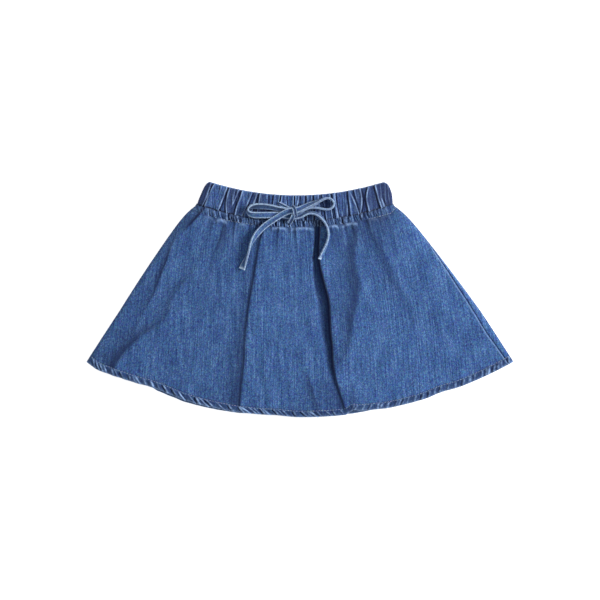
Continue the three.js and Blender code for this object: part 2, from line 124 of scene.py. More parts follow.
# %% Level lines and the panel's plan
ARCS = {
    "band_top": {"half": 99.6, "y": 114.9, "dip": 15.0},
    "waist_seam": {"half": 107.7, "y": 86.8, "dip": 17.7},
    "hem": {"half": 234.4, "y": -128.2, "dip": 60.5},
}
HIP_SPRING = 7.0  # the sides swing out by this just under the waistband
HIP_DROP = 0.05  # share of the length in which they do so
SIDE_BOW = 3.0
BAND_SHIFT = -3.4  # the waist was laid a little to the left: its top by this, and its seam by the next
WAIST_SHIFT = -5.7
SHIFT_REACH = 0.68  # share of the length in which the shift has run out
SEAM_GAP = 0.3  # between the waistband and the skirt
SEAM_STRIP = 6.8  # seam allowance under the waistband, down to its topstitching
SEAM_STRIP_END = 5.8
STRIP_RISE = 0.55  # share of its depth by which that topstitching rises at the right side seam
HEM_DEPTH = 6.6

HEM_EDGE = {
    # how far each panel's hem stands above the hem's arc, from left to right
    "across": [-1, -0.95, -0.88, -0.83, -0.77, -0.71, -0.66, -0.6, -0.54, -0.43, -0.3, -0.18, -0.12,
               0, 0.21, 0.25, 0.29, 0.34, 0.42, 0.58, 0.66, 0.76, 1],
    "front": [-0.5, -2.2, -0.3, 1.2, 2.5, 4.2, 4.5, 3.3, 1.7, 1, 0.6, 0.9, 1.3,
              -0.2, -0.3, 3.9, 2.3, 1.4, 0, 0, 1.7, 0, 0],
    "back": [0, 0, 1, 2.2, 3.6, 4.8, 2.3, 1, -0.6, -0.9, -0.6, 1.6, 1.9,
             0.4, 0.4, 0, 0.4, 1, 0.5, 0.2, 1.9, 0.2, 0],
}


def smooth(x, low, high):
    """0 below low, 1 above high, and a soft step between."""
    t = np.clip((x - low) / (high - low), 0.0, 1.0)
    return t * t * (3.0 - 2.0 * t)


def bell(x, width):
    """1 at 0, and soon 0 beyond width on both sides."""
    return np.exp(-((x / width) ** 2))


def fading(x, width):
    """1 up to 0, and from there less and less: about a third at width."""
    return np.exp(-np.maximum(x, 0) / width)


def soft_steps(x, at, values):
    """The values at their places, joined by soft steps."""
    at, values = np.asarray(at, float), np.asarray(values, float)
    i = np.clip(np.searchsorted(at, x) - 1, 0, len(at) - 2)
    return values[i] + (values[i + 1] - values[i]) * smooth(x, at[i], at[i + 1])


def along(readings, t):
    """A smooth curve through evenly spaced readings, at share t of its length."""
    r = np.asarray(readings, float)
    at = np.clip(t, 0.0, 1.0) * (len(r) - 1)
    i = np.minimum(at.astype(int), len(r) - 2)
    f = at - i
    a, b, c, d = (r[np.clip(i + k, 0, len(r) - 1)] for k in (-1, 0, 1, 2))
    return b + 0.5 * f * (c - a + f * (2 * a - 5 * b + 4 * c - d + f * (3 * (b - c) + d - a)))


def hermite(f, a, b, slope_a, slope_b):
    """A smooth curve from a to b at share f of the way, with its slopes at both ends."""
    return ((2 * f**3 - 3 * f**2 + 1) * a + (f**3 - 2 * f**2 + f) * slope_a
            + (3 * f**2 - 2 * f**3) * b + (f**3 - f**2) * slope_b)


def arc_y(name, x):
    """y of a level line at x: an arc of a circle that dips in the middle."""
    arc = ARCS[name]
    radius = (arc["half"] ** 2 + arc["dip"] ** 2) / (2 * arc["dip"])
    return arc["y"] + radius - np.sqrt(radius**2 - x**2)


def half_width(down):
    """Half the skirt's width in mm."""
    spring = HIP_SPRING * (1 - np.exp(-down / HIP_DROP)) * (1 - down)
    waist, hem = ARCS["waist_seam"]["half"], ARCS["hem"]["half"]
    return waist + (hem - waist) * down + spring + SIDE_BOW * np.sin(np.pi * down)


def plan(side, across, down):
    """x and y in mm of a point of a skirt panel."""
    top = arc_y("waist_seam", ARCS["waist_seam"]["half"] * across) - SEAM_GAP
    bottom = arc_y("hem", ARCS["hem"]["half"] * across)
    bottom = bottom + soft_steps(across, HEM_EDGE["across"], HEM_EDGE[side])
    shift = WAIST_SHIFT * np.clip(1 - down / SHIFT_REACH, 0, 1)
    return half_width(down) * across + shift, top + (bottom - top) * down


def panel_length(across):
    """How far it is from the waist seam to the hem, in mm."""
    return plan("front", across, 0 * across)[1] - plan("front", across, 0 * across + 1)[1]


def strip_depth(across):
    """Depth of the seam strip in mm."""
    depth = SEAM_STRIP + (SEAM_STRIP_END - SEAM_STRIP) * across**2
    return depth * (1 - STRIP_RISE * smooth(across, 0.9, 1.0))


corner = plan("front", np.array([1.0]), np.array([1.0]))
print("hem corner at", [round(float(c[0]), 1) for c in corner], "mm")

# %% [markdown]
# ## From a grid of points to a piece of cloth
#
# Every piece of cloth here is a grid of points: rows down the garment and columns across it. The helper
# below turns such a grid into a mesh of quads. It also stores values per point, such as how worn the cloth is
# there, as named attributes, which the materials read later. Its UV map holds millimetres along and across
# the grain, so a weave follows the cloth. Solidify gives the sheet its thickness, inwards from the side that
# shows.

# %% Helpers for meshes
def grid_faces(rows, columns, ring=False, tube=False):
    """Quads between the points of a grid, which may close on itself both ways."""
    index = np.arange(rows * columns).reshape(rows, columns)
    if ring:
        index = np.hstack([index, index[:, :1]])
    if tube:
        index = np.vstack([index, index[:1]])
    a, b, c, d = index[:-1, :-1], index[1:, :-1], index[1:, 1:], index[:-1, 1:]
    return np.stack([a, b, c, d], axis=-1).reshape(-1, 4)


def new_piece(name, points, faces, traits=None, grain=None):
    """An object with its points in mm, its values per point, and its grain as a UV map."""
    mesh = bpy.data.meshes.new(name)
    places = np.asarray(points).reshape(-1, 3) * MM
    mesh.from_pydata(places.tolist(), [], [list(map(int, face)) for face in faces])
    for key, values in (traits or {}).items():
        layer = mesh.attributes.new(key, "FLOAT", "POINT")
        layer.data.foreach_set("value", np.ascontiguousarray(values, dtype=np.float32).ravel())
    if grain is not None:
        corners = np.empty(len(mesh.loops), dtype=np.int32)
        mesh.loops.foreach_get("vertex_index", corners)
        places = np.asarray(grain, dtype=np.float32).reshape(-1, 2)[corners] * MM
        mesh.uv_layers.new(name="grain").data.foreach_set("uv", places.ravel())
    mesh.shade_smooth()
    piece = bpy.data.objects.new(name, mesh)
    scene.collection.objects.link(piece)
    return piece


def apply_modifiers(piece):
    bpy.ops.object.select_all(action="DESELECT")
    piece.select_set(True)
    bpy.context.view_layer.objects.active = piece
    for modifier in list(piece.modifiers):
        bpy.ops.object.modifier_apply(modifier=modifier.name)


def thicken(piece, wall):
    """Gives a sheet its wall, in mm, inwards from the side that shows."""
    solidify = piece.modifiers.new("wall", "SOLIDIFY")
    solidify.thickness = wall * MM
    solidify.offset = -1.0
    solidify.use_even_offset = False
    apply_modifiers(piece)
    print(piece.name, "has", sum(len(p.vertices) - 2 for p in piece.data.polygons), "triangles")


# %% [markdown]
# ## Creases
#
# Gathers, puckers and the slanted ropes of a washed hem are all the same thing at different sizes: a sharp
# crest with a dark valley on one side and a slope that eases off on the other. One function adds them up from
# a table. Besides the height it gives two values for the colour. Indigo rubs off where cloth stands proud, so
# `wear` is 1 on a crest. The other value is 1 in a valley: for the indigo that stays where cloth is tucked
# away, and for painted shade.

# %% Crests
# the section of a crest of size 1, in mm: its steep side, its slope, and how far down each it is rubbed
STEEP, SLOPE, STEEP_RUBBED, SLOPE_RUBBED = 0.8, 2.4, 0.5, 0.95
HOLLOW_AT, HOLLOW_WIDE, HOLLOW_DEEP = 1.6, 0.95, 0.75  # beside the crest in mm, and a share of its rise
WAVER = 0.3  # how far a crest strays from its line
END_BLUR = 0.15  # share of the strip in which a crest that stops short runs out


def crests(x, v, table):
    """Height in mm, wear and dye at x and at share v from the top of a strip, from a table of crests."""
    height, wear, dye = (np.zeros(np.broadcast(x, v).shape) for _ in range(3))
    for row in table:
        top, bottom, rise, size = (row[key] for key in ("top", "bottom", "rise", "size"))
        start, end = row.get("start", -1.0), row.get("end", 2.0)
        bend = row.get("bend", 0.0) * np.sin(np.pi * v)
        waver = WAVER * size * np.sin(6.0 * v + top) * np.sin(3.1 * v + 0.7 * bottom)
        u = (x - (top + (bottom - top) * v) - bend - waver) * row["valley"]
        reach = smooth(v, start - END_BLUR, start + END_BLUR)
        reach = reach * (1 - smooth(v, end - END_BLUR, end + END_BLUR))
        crest = np.where(u > 0, bell(u, STEEP * size), np.exp(u / (SLOPE * size)))
        hollow = bell(u - HOLLOW_AT * size, HOLLOW_WIDE * size)
        height += reach * rise * (crest - HOLLOW_DEEP * hollow)
        broken = 0.68 + 0.32 * np.sin(v * row.get("beat", 9.0) + top)
        rubbed = bell(u, np.where(u > 0, STEEP_RUBBED, SLOPE_RUBBED) * size)
        wear = np.maximum(wear, reach * row["wear"] * broken * rubbed)
        # in the hollow beside a crest: the indigo kept there, and painted shade
        dye = np.maximum(dye, reach * min(1.0, 0.75 * rise + 0.2) * hollow)
    return height, wear, dye


def uneven_crests(seed, low, high, spacing, rise, wear, lean, size):
    """A table of crests at uneven spacing, leaning by lean mm from top to bottom."""
    random = np.random.default_rng(seed)
    table = []
    at = low
    while at < high:
        at += spacing * random.uniform(0.55, 1.45)
        tilt = lean * random.uniform(0.7, 1.3)
        table.append({
            "top": at - tilt / 2,
            "bottom": at + tilt / 2,
            "valley": 1 if random.random() < 0.5 else -1,
            "rise": rise * random.uniform(0.5, 1.3),
            "wear": wear * random.uniform(0.3, 1.0),
            "size": size * random.uniform(0.7, 1.2),
            "beat": random.uniform(4.0, 14.0),
        })
    return table


def table_of(columns, rows):
    """Rows with named columns. A row may leave out its last ones."""
    return [dict(zip(columns.split(), row)) for row in rows]


# %% [markdown]
# ## The folds of the skirt
#
# The big folds are placed from the photograph. Each has a line that it runs along, as places on the
# table from the waist down. To its left the cloth climbs in a soft ramp, which the lamp on the right leaves
# in shade. At the line it has its crest, and to its right it sinks back slowly. A fold with side -1 is the
# other way round. A soft fold is round over some millimetres. A deep one also has a trench of its own width
# beside the line, where the cloth dives under itself, with a wall on its far side and a lip that leans over.
#
# The values after the line are read from its top to its bottom. Heights and widths are in mm, and tone says
# how dark a shade is painted into the cloth's colour beside the fold.

# %% Table of folds
FOLDS = [
    {"name": "shoulder", "line": [(-107, 98), (-111, 93), (-116, 87.5), (-123, 80), (-131, 72)],
     "rise": [1.6, 1.5, 1.0, 0.4], "ramp": [3, 3, 4, 5], "fade": 7, "tone": [1.5, 1.5, 1.25, 0.7, 0.1]},
    {"name": "edge",
     "line": [(-137, 69), (-142, 57), (-146.5, 43), (-152, 30), (-160, 8), (-172, -14), (-179, -29)],
     "rise": [0.8, 1.5, 1.5, 1.1, 0.3], "ramp": [3, 4, 6], "fade": 14, "tone": [0.5, 0.95, 0.9, 0.5, 0.2]},
    {"name": "left", "round": 0.8,
     "line": [(-109, 48), (-120, 29), (-134, 13), (-141, 2), (-146, -14), (-156, -27), (-172, -37),
              (-183, -47), (-193, -57), (-201, -68), (-206, -79)],
     "rise": [0.6, 1.5, 2.0, 3.8, 4.0], "ramp": [5, 5, 6, 10, 12], "fade": 30,
     "tone": [0.2, 0.5, 0.6, 0.95, 1.0]},
    {"name": "soft_left", "side": -1, "line": [(-83, 85), (-89, 65.5), (-97, 45), (-102, 30), (-106, 12)],
     "rise": [0.6, 0.6, 0.3, 0.2, 0], "ramp": [7, 14, 14, 10], "fade": 6,
     "tone": [0.8, 0.75, 0.4, 0.25, 0.1]},
    {"name": "faint_left", "line": [(-84, 26), (-86, 8), (-88, -10)],
     "rise": [0.3, 0.8, 0.4], "ramp": [6, 7], "fade": 18, "tone": [0, 0.2, 0]},
    {"name": "centre_left",
     "line": [(-40, 74), (-43, 65), (-45, 54), (-47.6, 38), (-50.5, 21), (-54, 0), (-56, -14), (-58, -28),
              (-59.4, -44), (-60, -66), (-62.7, -88), (-65, -112)],
     "rise": [2.6, 3.2, 3.2, 3.6, 3.4], "ramp": [7, 6, 7, 11, 12], "fade": 55,
     "tone": [0.85, 0.85, 0.8, 0.85, 0.95],
     "trench": [0.9, 0.7, 0.5, 0.5, 0.5], "width": [5, 4, 4], "lip": [0.8, 1.0, 1.0]},
    {"name": "centre_right",
     "line": [(23.7, 80), (23.7, 41), (28.8, 19), (33.6, 0), (34.7, -17), (35.5, -33), (37.5, -50),
              (38.4, -70), (41.3, -88), (46, -105), (48.6, -114)],
     "rise": [2.0, 2.4, 2.4, 2.6, 2.6], "ramp": [2, 2, 2, 7, 18], "fade": 30,
     "tone": [0.6, 0.5, 0.4, 0.75, 0.85], "trench": [5.4, 5.2, 4.8, 4.8, 4.4, 3.0, 1.2],
     "width": [6.8, 8, 13, 12, 9, 7, 7], "wall": [1.6, 1.6, 3.5, 6.0, 7.0, 7.0],
     "lip": [1.5, 2.0, 1.5, 2.0, 1.0]},
    {"name": "inner_right", "round": 1.2,
     "line": [(63, 79), (61, 65), (59, 49), (60.5, 32), (63.6, 19), (61.6, 0), (59, -14), (56, -33),
              (53.4, -48), (49, -60), (43.5, -71)],
     "rise": [1.6, 2.3, 2.4, 2.4, 0.8], "ramp": [11, 12, 12, 8, 5], "fade": 16,
     "tone": [0.95, 0.95, 0.95, 0.9, 0.5]},
    {"name": "outer_right", "round": 1.8,
     "line": [(71, 88), (84, 66), (96, 40), (107, 15), (117, -2), (127, -22)],
     "rise": [1.8, 1.7, 1.4, 0.9, 0.3], "ramp": [7, 9, 9, 8], "fade": 26, "tone": [0.85, 0.75, 0.6, 0.15]},
    {"name": "hem_dimple", "line": [(6, -73), (9.4, -86), (13.8, -100), (18.2, -114)],
     "rise": [0.3, 1.5, 1.8, 1.3], "ramp": [3, 3, 4], "fade": 12, "tone": [0, 0.45, 0.5]},
    {"name": "faint_hem", "line": [(-37, -61), (-38.5, -80), (-40, -94)],
     "rise": [0.1, 0.9, 0.5], "ramp": [3, 3], "fade": 12, "tone": [0, 0.2, 0.1]},
    {"name": "hem_corner", "line": [(58, -100), (60, -110), (62, -119)],
     "rise": [0.1, 0.8, 1.3], "ramp": [5, 6], "fade": 14, "tone": [0.2, 0.5, 0.5]},
]
WALL = [1.6, 1.6]  # of a trench that has no row of its own for it
FOLD_RUNOUT = 14.0  # beyond its ends, a fold runs out over this
LIP_AT, LIP_WIDE = 0.8, 2.2
# painted shade: the line of a trench where it is painted darkest
DARKEST_AT, DARKEST_WIDE = -2.8, 1.9  # the line of a trench under its lip, where least light gets in


def path_at(y, path):
    """x of a path at height y: a smooth curve through its places, and straight on beyond its ends."""
    px, py = np.array(path, float)[::-1].T
    slopes = np.gradient(px, py)
    i = np.clip(np.searchsorted(py, y) - 1, 0, len(py) - 2)
    gap = py[i + 1] - py[i]
    f = np.clip((y - py[i]) / gap, 0, 1)
    curve = hermite(f, px[i], px[i + 1], slopes[i] * gap, slopes[i + 1] * gap)
    return curve + slopes[0] * np.minimum(y - py[0], 0) + slopes[-1] * np.maximum(y - py[-1], 0)


def fold_relief(x, y):
    """Height of the folds in mm, how far their lips lean to the left, and the shade painted into the colour
    beside them.
    """
    height, lean, dye = (np.zeros(x.shape) for _ in range(3))
    for fold in FOLDS:
        line, soft = fold["line"], fold.get("round", 0.0)
        top, bottom = line[0][1], line[-1][1]
        t = (top - y) / (top - bottom)
        here = smooth(y, bottom - FOLD_RUNOUT, bottom) * (1 - smooth(y, top, top + FOLD_RUNOUT))
        slant = path_at(y + 1, line) - path_at(y - 1, line)
        beside = fold.get("side", 1) * (x - path_at(y, line)) / np.sqrt(1 + (slant / 2) ** 2)
        rise, ramp, tone = (along(fold[key], t) for key in ("rise", "ramp", "tone"))
        trench, width, lip = (along(fold.get(key, [0, 0]), t) for key in ("trench", "width", "lip"))
        wall = along(fold.get("wall", WALL), t)
        away = np.sqrt(beside**2 + soft**2)
        left, right = (beside - away) / 2, (beside + away) / 2
        crest = np.exp(left / ramp) * np.exp(-right / fold["fade"])
        crest = crest * (1 - 0.25 * np.exp(-np.abs(beside) / 0.8))
        ditch = smooth(beside, -width - wall, -width + 0.4 * wall) * (1 - smooth(beside, -2.0, 0.2))
        height += here * (rise * crest - trench * ditch)
        lean += here * lip * bell(beside - LIP_AT, LIP_WIDE)
        # painted shade: dark on the ramp left of the line, fading past the crest, and darkest in a trench
        shade = tone * np.exp(left / (0.9 * ramp)) * np.exp(-right / (0.8 + 0.8 * soft))
        darkest = bell(beside - DARKEST_AT, DARKEST_WIDE) * (trench > 1)
        shade = np.maximum(shade, np.minimum(trench / 4.0, 1.0) * (0.6 * ditch + 0.45 * darkest))
        dye = 1 - (1 - dye) * (1 - here * np.clip(shade, 0, 1))
    return height, lean, dye


print("folds:", [fold["name"] for fold in FOLDS])

# %% [markdown]
# ## The front of the skirt
#
# One sheet, from the waist seam to the hem. The surface is a low crown over the shorts, plus the folds, plus
# what the sewing does to it: fine puckers in the pressed seam under the waistband, gathers that fade out
# below it, and the hem. A hem that was sewn flat and then washed shrinks at its thread, and the cloth twists
# into slanted ropes, which lean one way on the left and the other way on the right.
#
# The rows are close together where the relief is fine and far apart between, and so are the columns near the
# right side seam, which has rolled a few millimetres to the front and shows as a thin line.

# %% Rows and columns of a panel
FRONT_COLUMNS = 515
ROWS = {"strip": 9, "gathers": 32, "middle": 36, "hem": 14}
GATHER_REACH = 34.0
HEM_REACH = 9.5
CLOSER = 0.6  # share by which columns are closer together at the right side seam
CLOSER_FROM, CLOSER_FULLY = 0.9, 0.95


def panel_grid(columns, rows):
    """across and down of a panel's points, closer together at the waist and at the hem."""
    step = 1 - CLOSER * smooth(np.linspace(-1, 1, columns - 1), CLOSER_FROM, CLOSER_FULLY)
    across = np.r_[-1.0, -1.0 + 2 * np.cumsum(step) / step.sum()]
    across[-1] = 1.0
    length = panel_length(across)
    strip = strip_depth(across) / length
    stops = [0 * length, strip, strip + GATHER_REACH / length, 1 - HEM_REACH / length, 0 * length + 1]
    down = [stops[0]]
    for k, (name, count) in enumerate(rows.items()):
        for share in np.arange(1, count + 1) / count:
            share = share**1.25 if name == "gathers" else share
            down.append(stops[k] + (stops[k + 1] - stops[k]) * share)
    down = np.array(down)
    return np.broadcast_to(across, down.shape).copy(), down


# %% Tables of puckers and ropes
PUCKERS = table_of("top bottom valley rise wear size start end", [
    (-100.6, -99.9, 1, 0.9, 0.7, 0.8, 0.1), (-98.3, -97.6, 1, 0.6, 0.6, 0.7, -1, 0.8),
    (-95.0, -94.1, -1, 0.9, 0.8, 0.7, 0.2), (-93.0, -92.3, 1, 0.6, 0.6, 0.7, -1, 0.7),
    (-88.4, -87.2, -1, 0.9, 0.9, 0.8, -1, 0.7), (-80.6, -79.6, 1, 1.7, 0.8, 1.0),
    (-77.2, -75.4, 1, 1.4, 0.8, 0.7, 0.3), (-74.8, -72.2, -1, 0.9, 0.3, 0.7, -1, 0.6),
    (-72.4, -70.4, 1, 1.5, 0.6, 0.7, 0.2), (-68.6, -67.2, 1, 1.7, 0.8, 0.9, 0.1),
    (-64.2, -63.4, -1, 0.9, 0.3, 0.8, 0.3), (-61.0, -60.2, 1, 0.8, 0.3, 0.8, -1, 0.6),
    (-55.8, -55.2, -1, 0.8, 0.3, 0.7), (-52.1, -51.4, 1, 1.4, 0.6, 0.8),
    (-49.6, -49.0, -1, 1.3, 0.7, 0.7, 0.2), (-45.6, -44.9, 1, 1.5, 0.6, 0.8),
    (-41.0, -40.4, -1, 1.3, 0.5, 0.8), (-36.4, -36.0, 1, 1.3, 0.6, 0.8, 0.1),
    (-32.0, -31.6, -1, 1.4, 0.7, 0.8), (-28.8, -28.2, 1, 1.7, 0.9, 0.8),
    (-25.4, -24.8, -1, 1.6, 0.9, 0.7, -1, 0.9), (-22.8, -22.4, 1, 1.9, 1.0, 0.8, 0.1),
    (-16.6, -15.8, -1, 1.6, 0.9, 0.8), (-13.2, -12.8, 1, 1.8, 0.9, 0.7),
    (-11.4, -10.6, -1, 1.7, 1.0, 0.8, 0.2), (-4.0, -4.2, 1, 0.7, 0.3, 0.7, -1, 0.7),
    (1.6, 1.8, 1, 1.3, 0.7, 0.7, 0.1), (5.5, 5.8, -1, 1.5, 0.9, 0.8), (9.0, 9.2, 1, 0.9, 0.4, 0.7, 0.3),
    (10.6, 10.7, -1, 1.3, 0.8, 0.7), (16.0, 16.4, -1, 1.5, 0.9, 0.8), (19.4, 19.8, 1, 1.9, 0.7, 1.0, 0),
    (24.0, 24.6, 1, 1.8, 0.5, 1.0, 0), (29.0, 29.8, -1, 1.2, 0.6, 0.9, -1, 0.8),
    (36.4, 37.6, 1, 1.1, 0.5, 0.9), (44.0, 45.0, 1, 1.9, 0.6, 1.1), (47.4, 48.2, -1, 1.4, 0.8, 0.7, 0.1),
    (50.8, 51.4, 1, 0.9, 0.7, 0.7, -1, 0.8), (54.0, 54.6, -1, 0.8, 0.8, 0.8, 0.2),
    (57.2, 58.0, 1, 0.7, 0.6, 0.8), (67.4, 68.4, 1, 1.8, 0.6, 1.0, -1, 0.7),
    (75.2, 75.8, -1, 0.9, 0.4, 0.8, -1, 0.6), (78.6, 79.4, 1, 0.9, 0.4, 0.8, -1, 0.7),
    (86.0, 87.0, -1, 0.6, 0.3, 0.9, -1, 0.7), (93.0, 94.4, 1, 0.5, 0.2, 1.0, -1, 0.6),
])
PUCKERS += uneven_crests(3, -113, 101, 2.6, 0.6, 0.5, 2.4, 0.55)
STRIP_TONES = table_of("x tone", [
    # how deep the colour of the seam strip is between its puckers, from left to right
    (-113, 0.35), (-106, 0.2), (-98, 0.05), (-88, 0.05), (-82, 0.55), (-76, 0.78), (-68, 0.72),
    (-60, 0.45), (-50, 0.45), (-40, 0.6), (-30, 0.5), (-20, 0.32), (-12, 0.45), (-8, 0.75), (-4, 0.42),
    (12, 0.42), (16, 0.85), (24, 0.95), (29, 0.75), (36, 0.5), (44, 0.5), (48, 0.8), (53, 0.25),
    (62, 0.2), (66, 0.8), (74, 0.7), (84, 0.62), (92, 0.5), (103, 0.4),
])
BELOW_STRIP_SHADE = table_of("x tone", [
    # how much shade is painted on the cloth just below the stitching, from left to right
    (-110, 0), (-92, 0), (-80, 0.15), (-68, 0.3), (-56, 0.15), (-40, 0.05), (-10, 0), (10, 0.05),
    (30, 0.3), (44, 0.5), (52, 0.5), (62, 0.6), (78, 0.85), (92, 0.8), (104, 0.4), (120, 0.15),
])
PUFFS = table_of("left right rise wear", [
    # where the skirt's cloth swells up just under the stitching, between two notches
    (-106, -94, 0.6, 0.25), (-92, -79.5, 1.5, 0.8), (-68, -58, 0.8, 0.35), (-54, -47, 0.5, 0.15),
    (-31.5, -13.5, 1.5, 0.75), (-11.5, 16, 1.3, 0.7), (29, 42.5, 1.6, 0.9), (45.5, 63.5, 1.5, 0.8),
    (74, 86, 0.5, 0.2), (88, 99, 0.4, 0.1),
])
GATHER_FOLDS = table_of("top bottom valley rise wear size", [
    (-101, -112, 1, 0.8, 0.1, 2.4), (-92, -104, -1, 0.7, 0.1, 2.0), (-79, -86, 1, 0.9, 0.1, 2.2),
    (-70, -74, -1, 1.0, 0.15, 1.8), (-58, -63, 1, 0.7, 0.1, 2.0), (-44, -49, -1, 1.1, 0.15, 2.0),
    (-31, -34, 1, 0.7, 0.1, 1.6), (-22, -25, -1, 0.9, 0.15, 1.6), (-10, -9, 1, 1.1, 0.2, 1.5),
    (-4, -3, -1, 0.8, 0.1, 1.4), (6, 7, 1, 0.8, 0.1, 1.6), (35, 40, -1, 0.9, 0.15, 1.8),
    (45, 52, 1, 1.1, 0.15, 2.0), (58, 66, -1, 0.9, 0.15, 2.0), (66, 76, 1, 0.9, 0.1, 2.0),
    (74, 88, -1, 0.7, 0.1, 2.0), (88, 101, 1, 0.6, 0.1, 2.4),
])
ROPES = {
    "front": uneven_crests(11, -232, -160, 6.2, 1.2, 1.7, 6.5, 1.2)
    + uneven_crests(14, -160, -56, 8.6, 1.35, 2.1, 9.0, 1.45)
    + uneven_crests(15, -56, 5, 7.4, 1.2, 1.5, 7.0, 1.2)
    + uneven_crests(12, 5, 44, 7.0, 0.8, 1.0, 5.0, 1.1)
    + uneven_crests(13, 50, 230, 6.2, 1.0, 1.2, -4.2, 1.15),
    "back": uneven_crests(21, -232, 0, 5.0, 1.0, 2.4, -5.0, 1.3)
    + uneven_crests(22, 0, 230, 7.0, 0.7, 1.1, -5.0, 1.2),
}
print("ropes along the hems:", {side: len(table) for side, table in ROPES.items()})


# %% The relief that sewing gives a panel
HEM_LIFT, HEM_PUFF = 0.35, 0.55  # a hem is three layers of cloth, and puffed between edge and stitching
HEM_GROOVE, WAIST_GROOVE = 0.8, 0.9  # width of the grooves that the stitching pulls
PULL, PULL_REACH = 0.3, 4.0  # height and reach of the waves that the hem's stitching pulls above it
PALE_EDGE_REACH = {"front": 0.8, "back": 2.5}  # how far up a hem's edge is pale: rubbed on both, and wider on the back, of which only the edge shows, as painted light where the front's hem shades it
# how dark a hem is; the back's lower value is painted light, where the front's hem shades it
HEM_DARKNESS = {"front": 0.6, "back": 0.2}
GATHER_FADE, BELOW_SHADE_FADE = 15.0, 25.0  # below the waist's stitching, the gathers and their shade fade over the first, and the painted shade under the waistband over the second
PUFF_HEIGHT, PUFF_EDGE = 3.2, 1.5  # how far down a puff is seen as a swelling, and as a rubbed line
NOTCH_REACH, NOTCH_WIDE = 5.0, 3.2  # the notch at each end of a puff, darkened with painted shade


def hem_relief(side, across, down):
    """Ropes between the hem's edge and its stitching, the stitching's groove, and a little pull above it."""
    x = across * ARCS["hem"]["half"]
    up = (1 - down) * panel_length(across)
    inside = 1 - smooth(up, HEM_DEPTH - 1.0, HEM_DEPTH)
    height, wear, dye = crests(x, 1 - up / HEM_DEPTH, ROPES[side])
    puff = HEM_PUFF * np.sin(np.pi * np.clip(up / HEM_DEPTH, 0, 1)) ** 0.6
    groove = bell(up - HEM_DEPTH, HEM_GROOVE)
    waves = np.sin(x * 0.55 + 2 * np.sin(x * 0.11))
    pull = PULL * (1 - inside) * fading(up - HEM_DEPTH, PULL_REACH) * waves
    relief = inside * (HEM_LIFT + puff + height) - 0.5 * groove + pull
    edge = np.exp(-up / PALE_EDGE_REACH[side])
    wear = np.maximum(inside * wear, 0.7 * edge * inside)
    # painted shade in the groove of the hem's stitching
    dye = np.maximum(inside * np.maximum(dye, HEM_DARKNESS[side]), 0.5 * groove)
    return relief, wear, dye


def tone_at(x, table):
    """How deep the colour is at x, from a table of tones."""
    return soft_steps(x, [row["x"] for row in table], [row["tone"] for row in table])


def waist_relief(x, across, down):
    """Puckers of the seam strip, the groove of its stitching, and the gathers that fade out below."""
    length = panel_length(across)
    strip = strip_depth(across)
    below = down * length - strip
    in_strip = 1 - smooth(below, -0.6, 0.4)
    pucker, pucker_wear, pucker_dye = crests(x, np.clip(down * length / strip, 0, 1), PUCKERS)
    gather, gather_wear, gather_dye = crests(x, np.clip(below / GATHER_REACH, 0, 1), GATHER_FOLDS)
    groove = bell(below, WAIST_GROOVE)
    rest = (1 - in_strip) * fading(below, GATHER_FADE) * (1 - smooth(below, 24, GATHER_REACH))
    height = in_strip * (pucker - 0.2) + rest * gather - 0.75 * groove
    wear = np.maximum(in_strip * pucker_wear, rest * gather_wear)
    dye = np.maximum(in_strip * np.maximum(pucker_dye, tone_at(x, STRIP_TONES)), rest * 0.8 * gather_dye)
    # painted shade on the cloth under the waistband, fading downwards
    dye = np.maximum(dye, (1 - in_strip) * tone_at(x, BELOW_STRIP_SHADE) * fading(below, BELOW_SHADE_FADE))
    for puff in PUFFS:
        wide, rise = puff["right"] - puff["left"], puff["rise"]
        q = (x - (puff["left"] + puff["right"]) / 2) / (wide / 2)
        arch = np.sqrt(np.clip(1 - q**2, 0, 1)) * (1 - in_strip)
        line = 1.0 + 2.6 * q**2 + 0.4 * np.sin(x * 1.1)
        height += rise * arch * bell(below - line - 1.4, PUFF_HEIGHT)
        wear = np.maximum(wear, 0.75 * puff["wear"] * arch * bell(below - line, PUFF_EDGE))
        # painted shade in the notch between two puffs
        notch = bell(below, NOTCH_REACH) * bell((np.abs(q) - 1) * wide, NOTCH_WIDE)
        dye = np.maximum(dye, 0.5 * rise * notch * (1 - in_strip))
    # painted shade in the groove of the waist's stitching
    return height, wear, np.maximum(dye, 0.45 * groove)


def wrinkles(x, y):
    """Low uneven swells of cloth that has been folded and pressed, in mm."""
    wide = np.sin(x / 17.0 + 1.3 * np.sin(y / 41.0)) * np.sin(y / 33.0 + 0.9 * np.sin(x / 27.0))
    narrow = np.sin(x / 6.1 + 2.0 * np.sin(y / 23.0)) * np.sin(y / 19.0 + x / 31.0)
    return 0.22 * wide + 0.10 * narrow


# %% The front panel
DENIM_WALL = 0.8
FRONT_BASE = 2.7  # the front's side that shows, at the side seams
CROWN, CROWN_EDGE = 2.4, 5.0  # the front rises by this over its first millimetres from the side
SHORTS_CROWN, SHORTS_HALF = 2.8, 135  # and by this over the shorts
TURN_DOWN, TURN_WIDE = 1.3, 1.3  # the side turns down to its edge
TUCK_LEVEL, TUCK_REACH = 5.2, 0.7  # the seam allowance goes up into the waistband, so no light comes through
SIDE_SEAM = table_of("down inset", [
    # how far in from the right edge the side seam's line lies, in mm
    (0.2, 0), (0.3, 1.2), (0.38, 2.4), (0.45, 3.4), (0.52, 4.3), (0.6, 5), (0.7, 6.3), (0.8, 7),
    (0.87, 6), (0.97, 5.2), (1, 5),
])


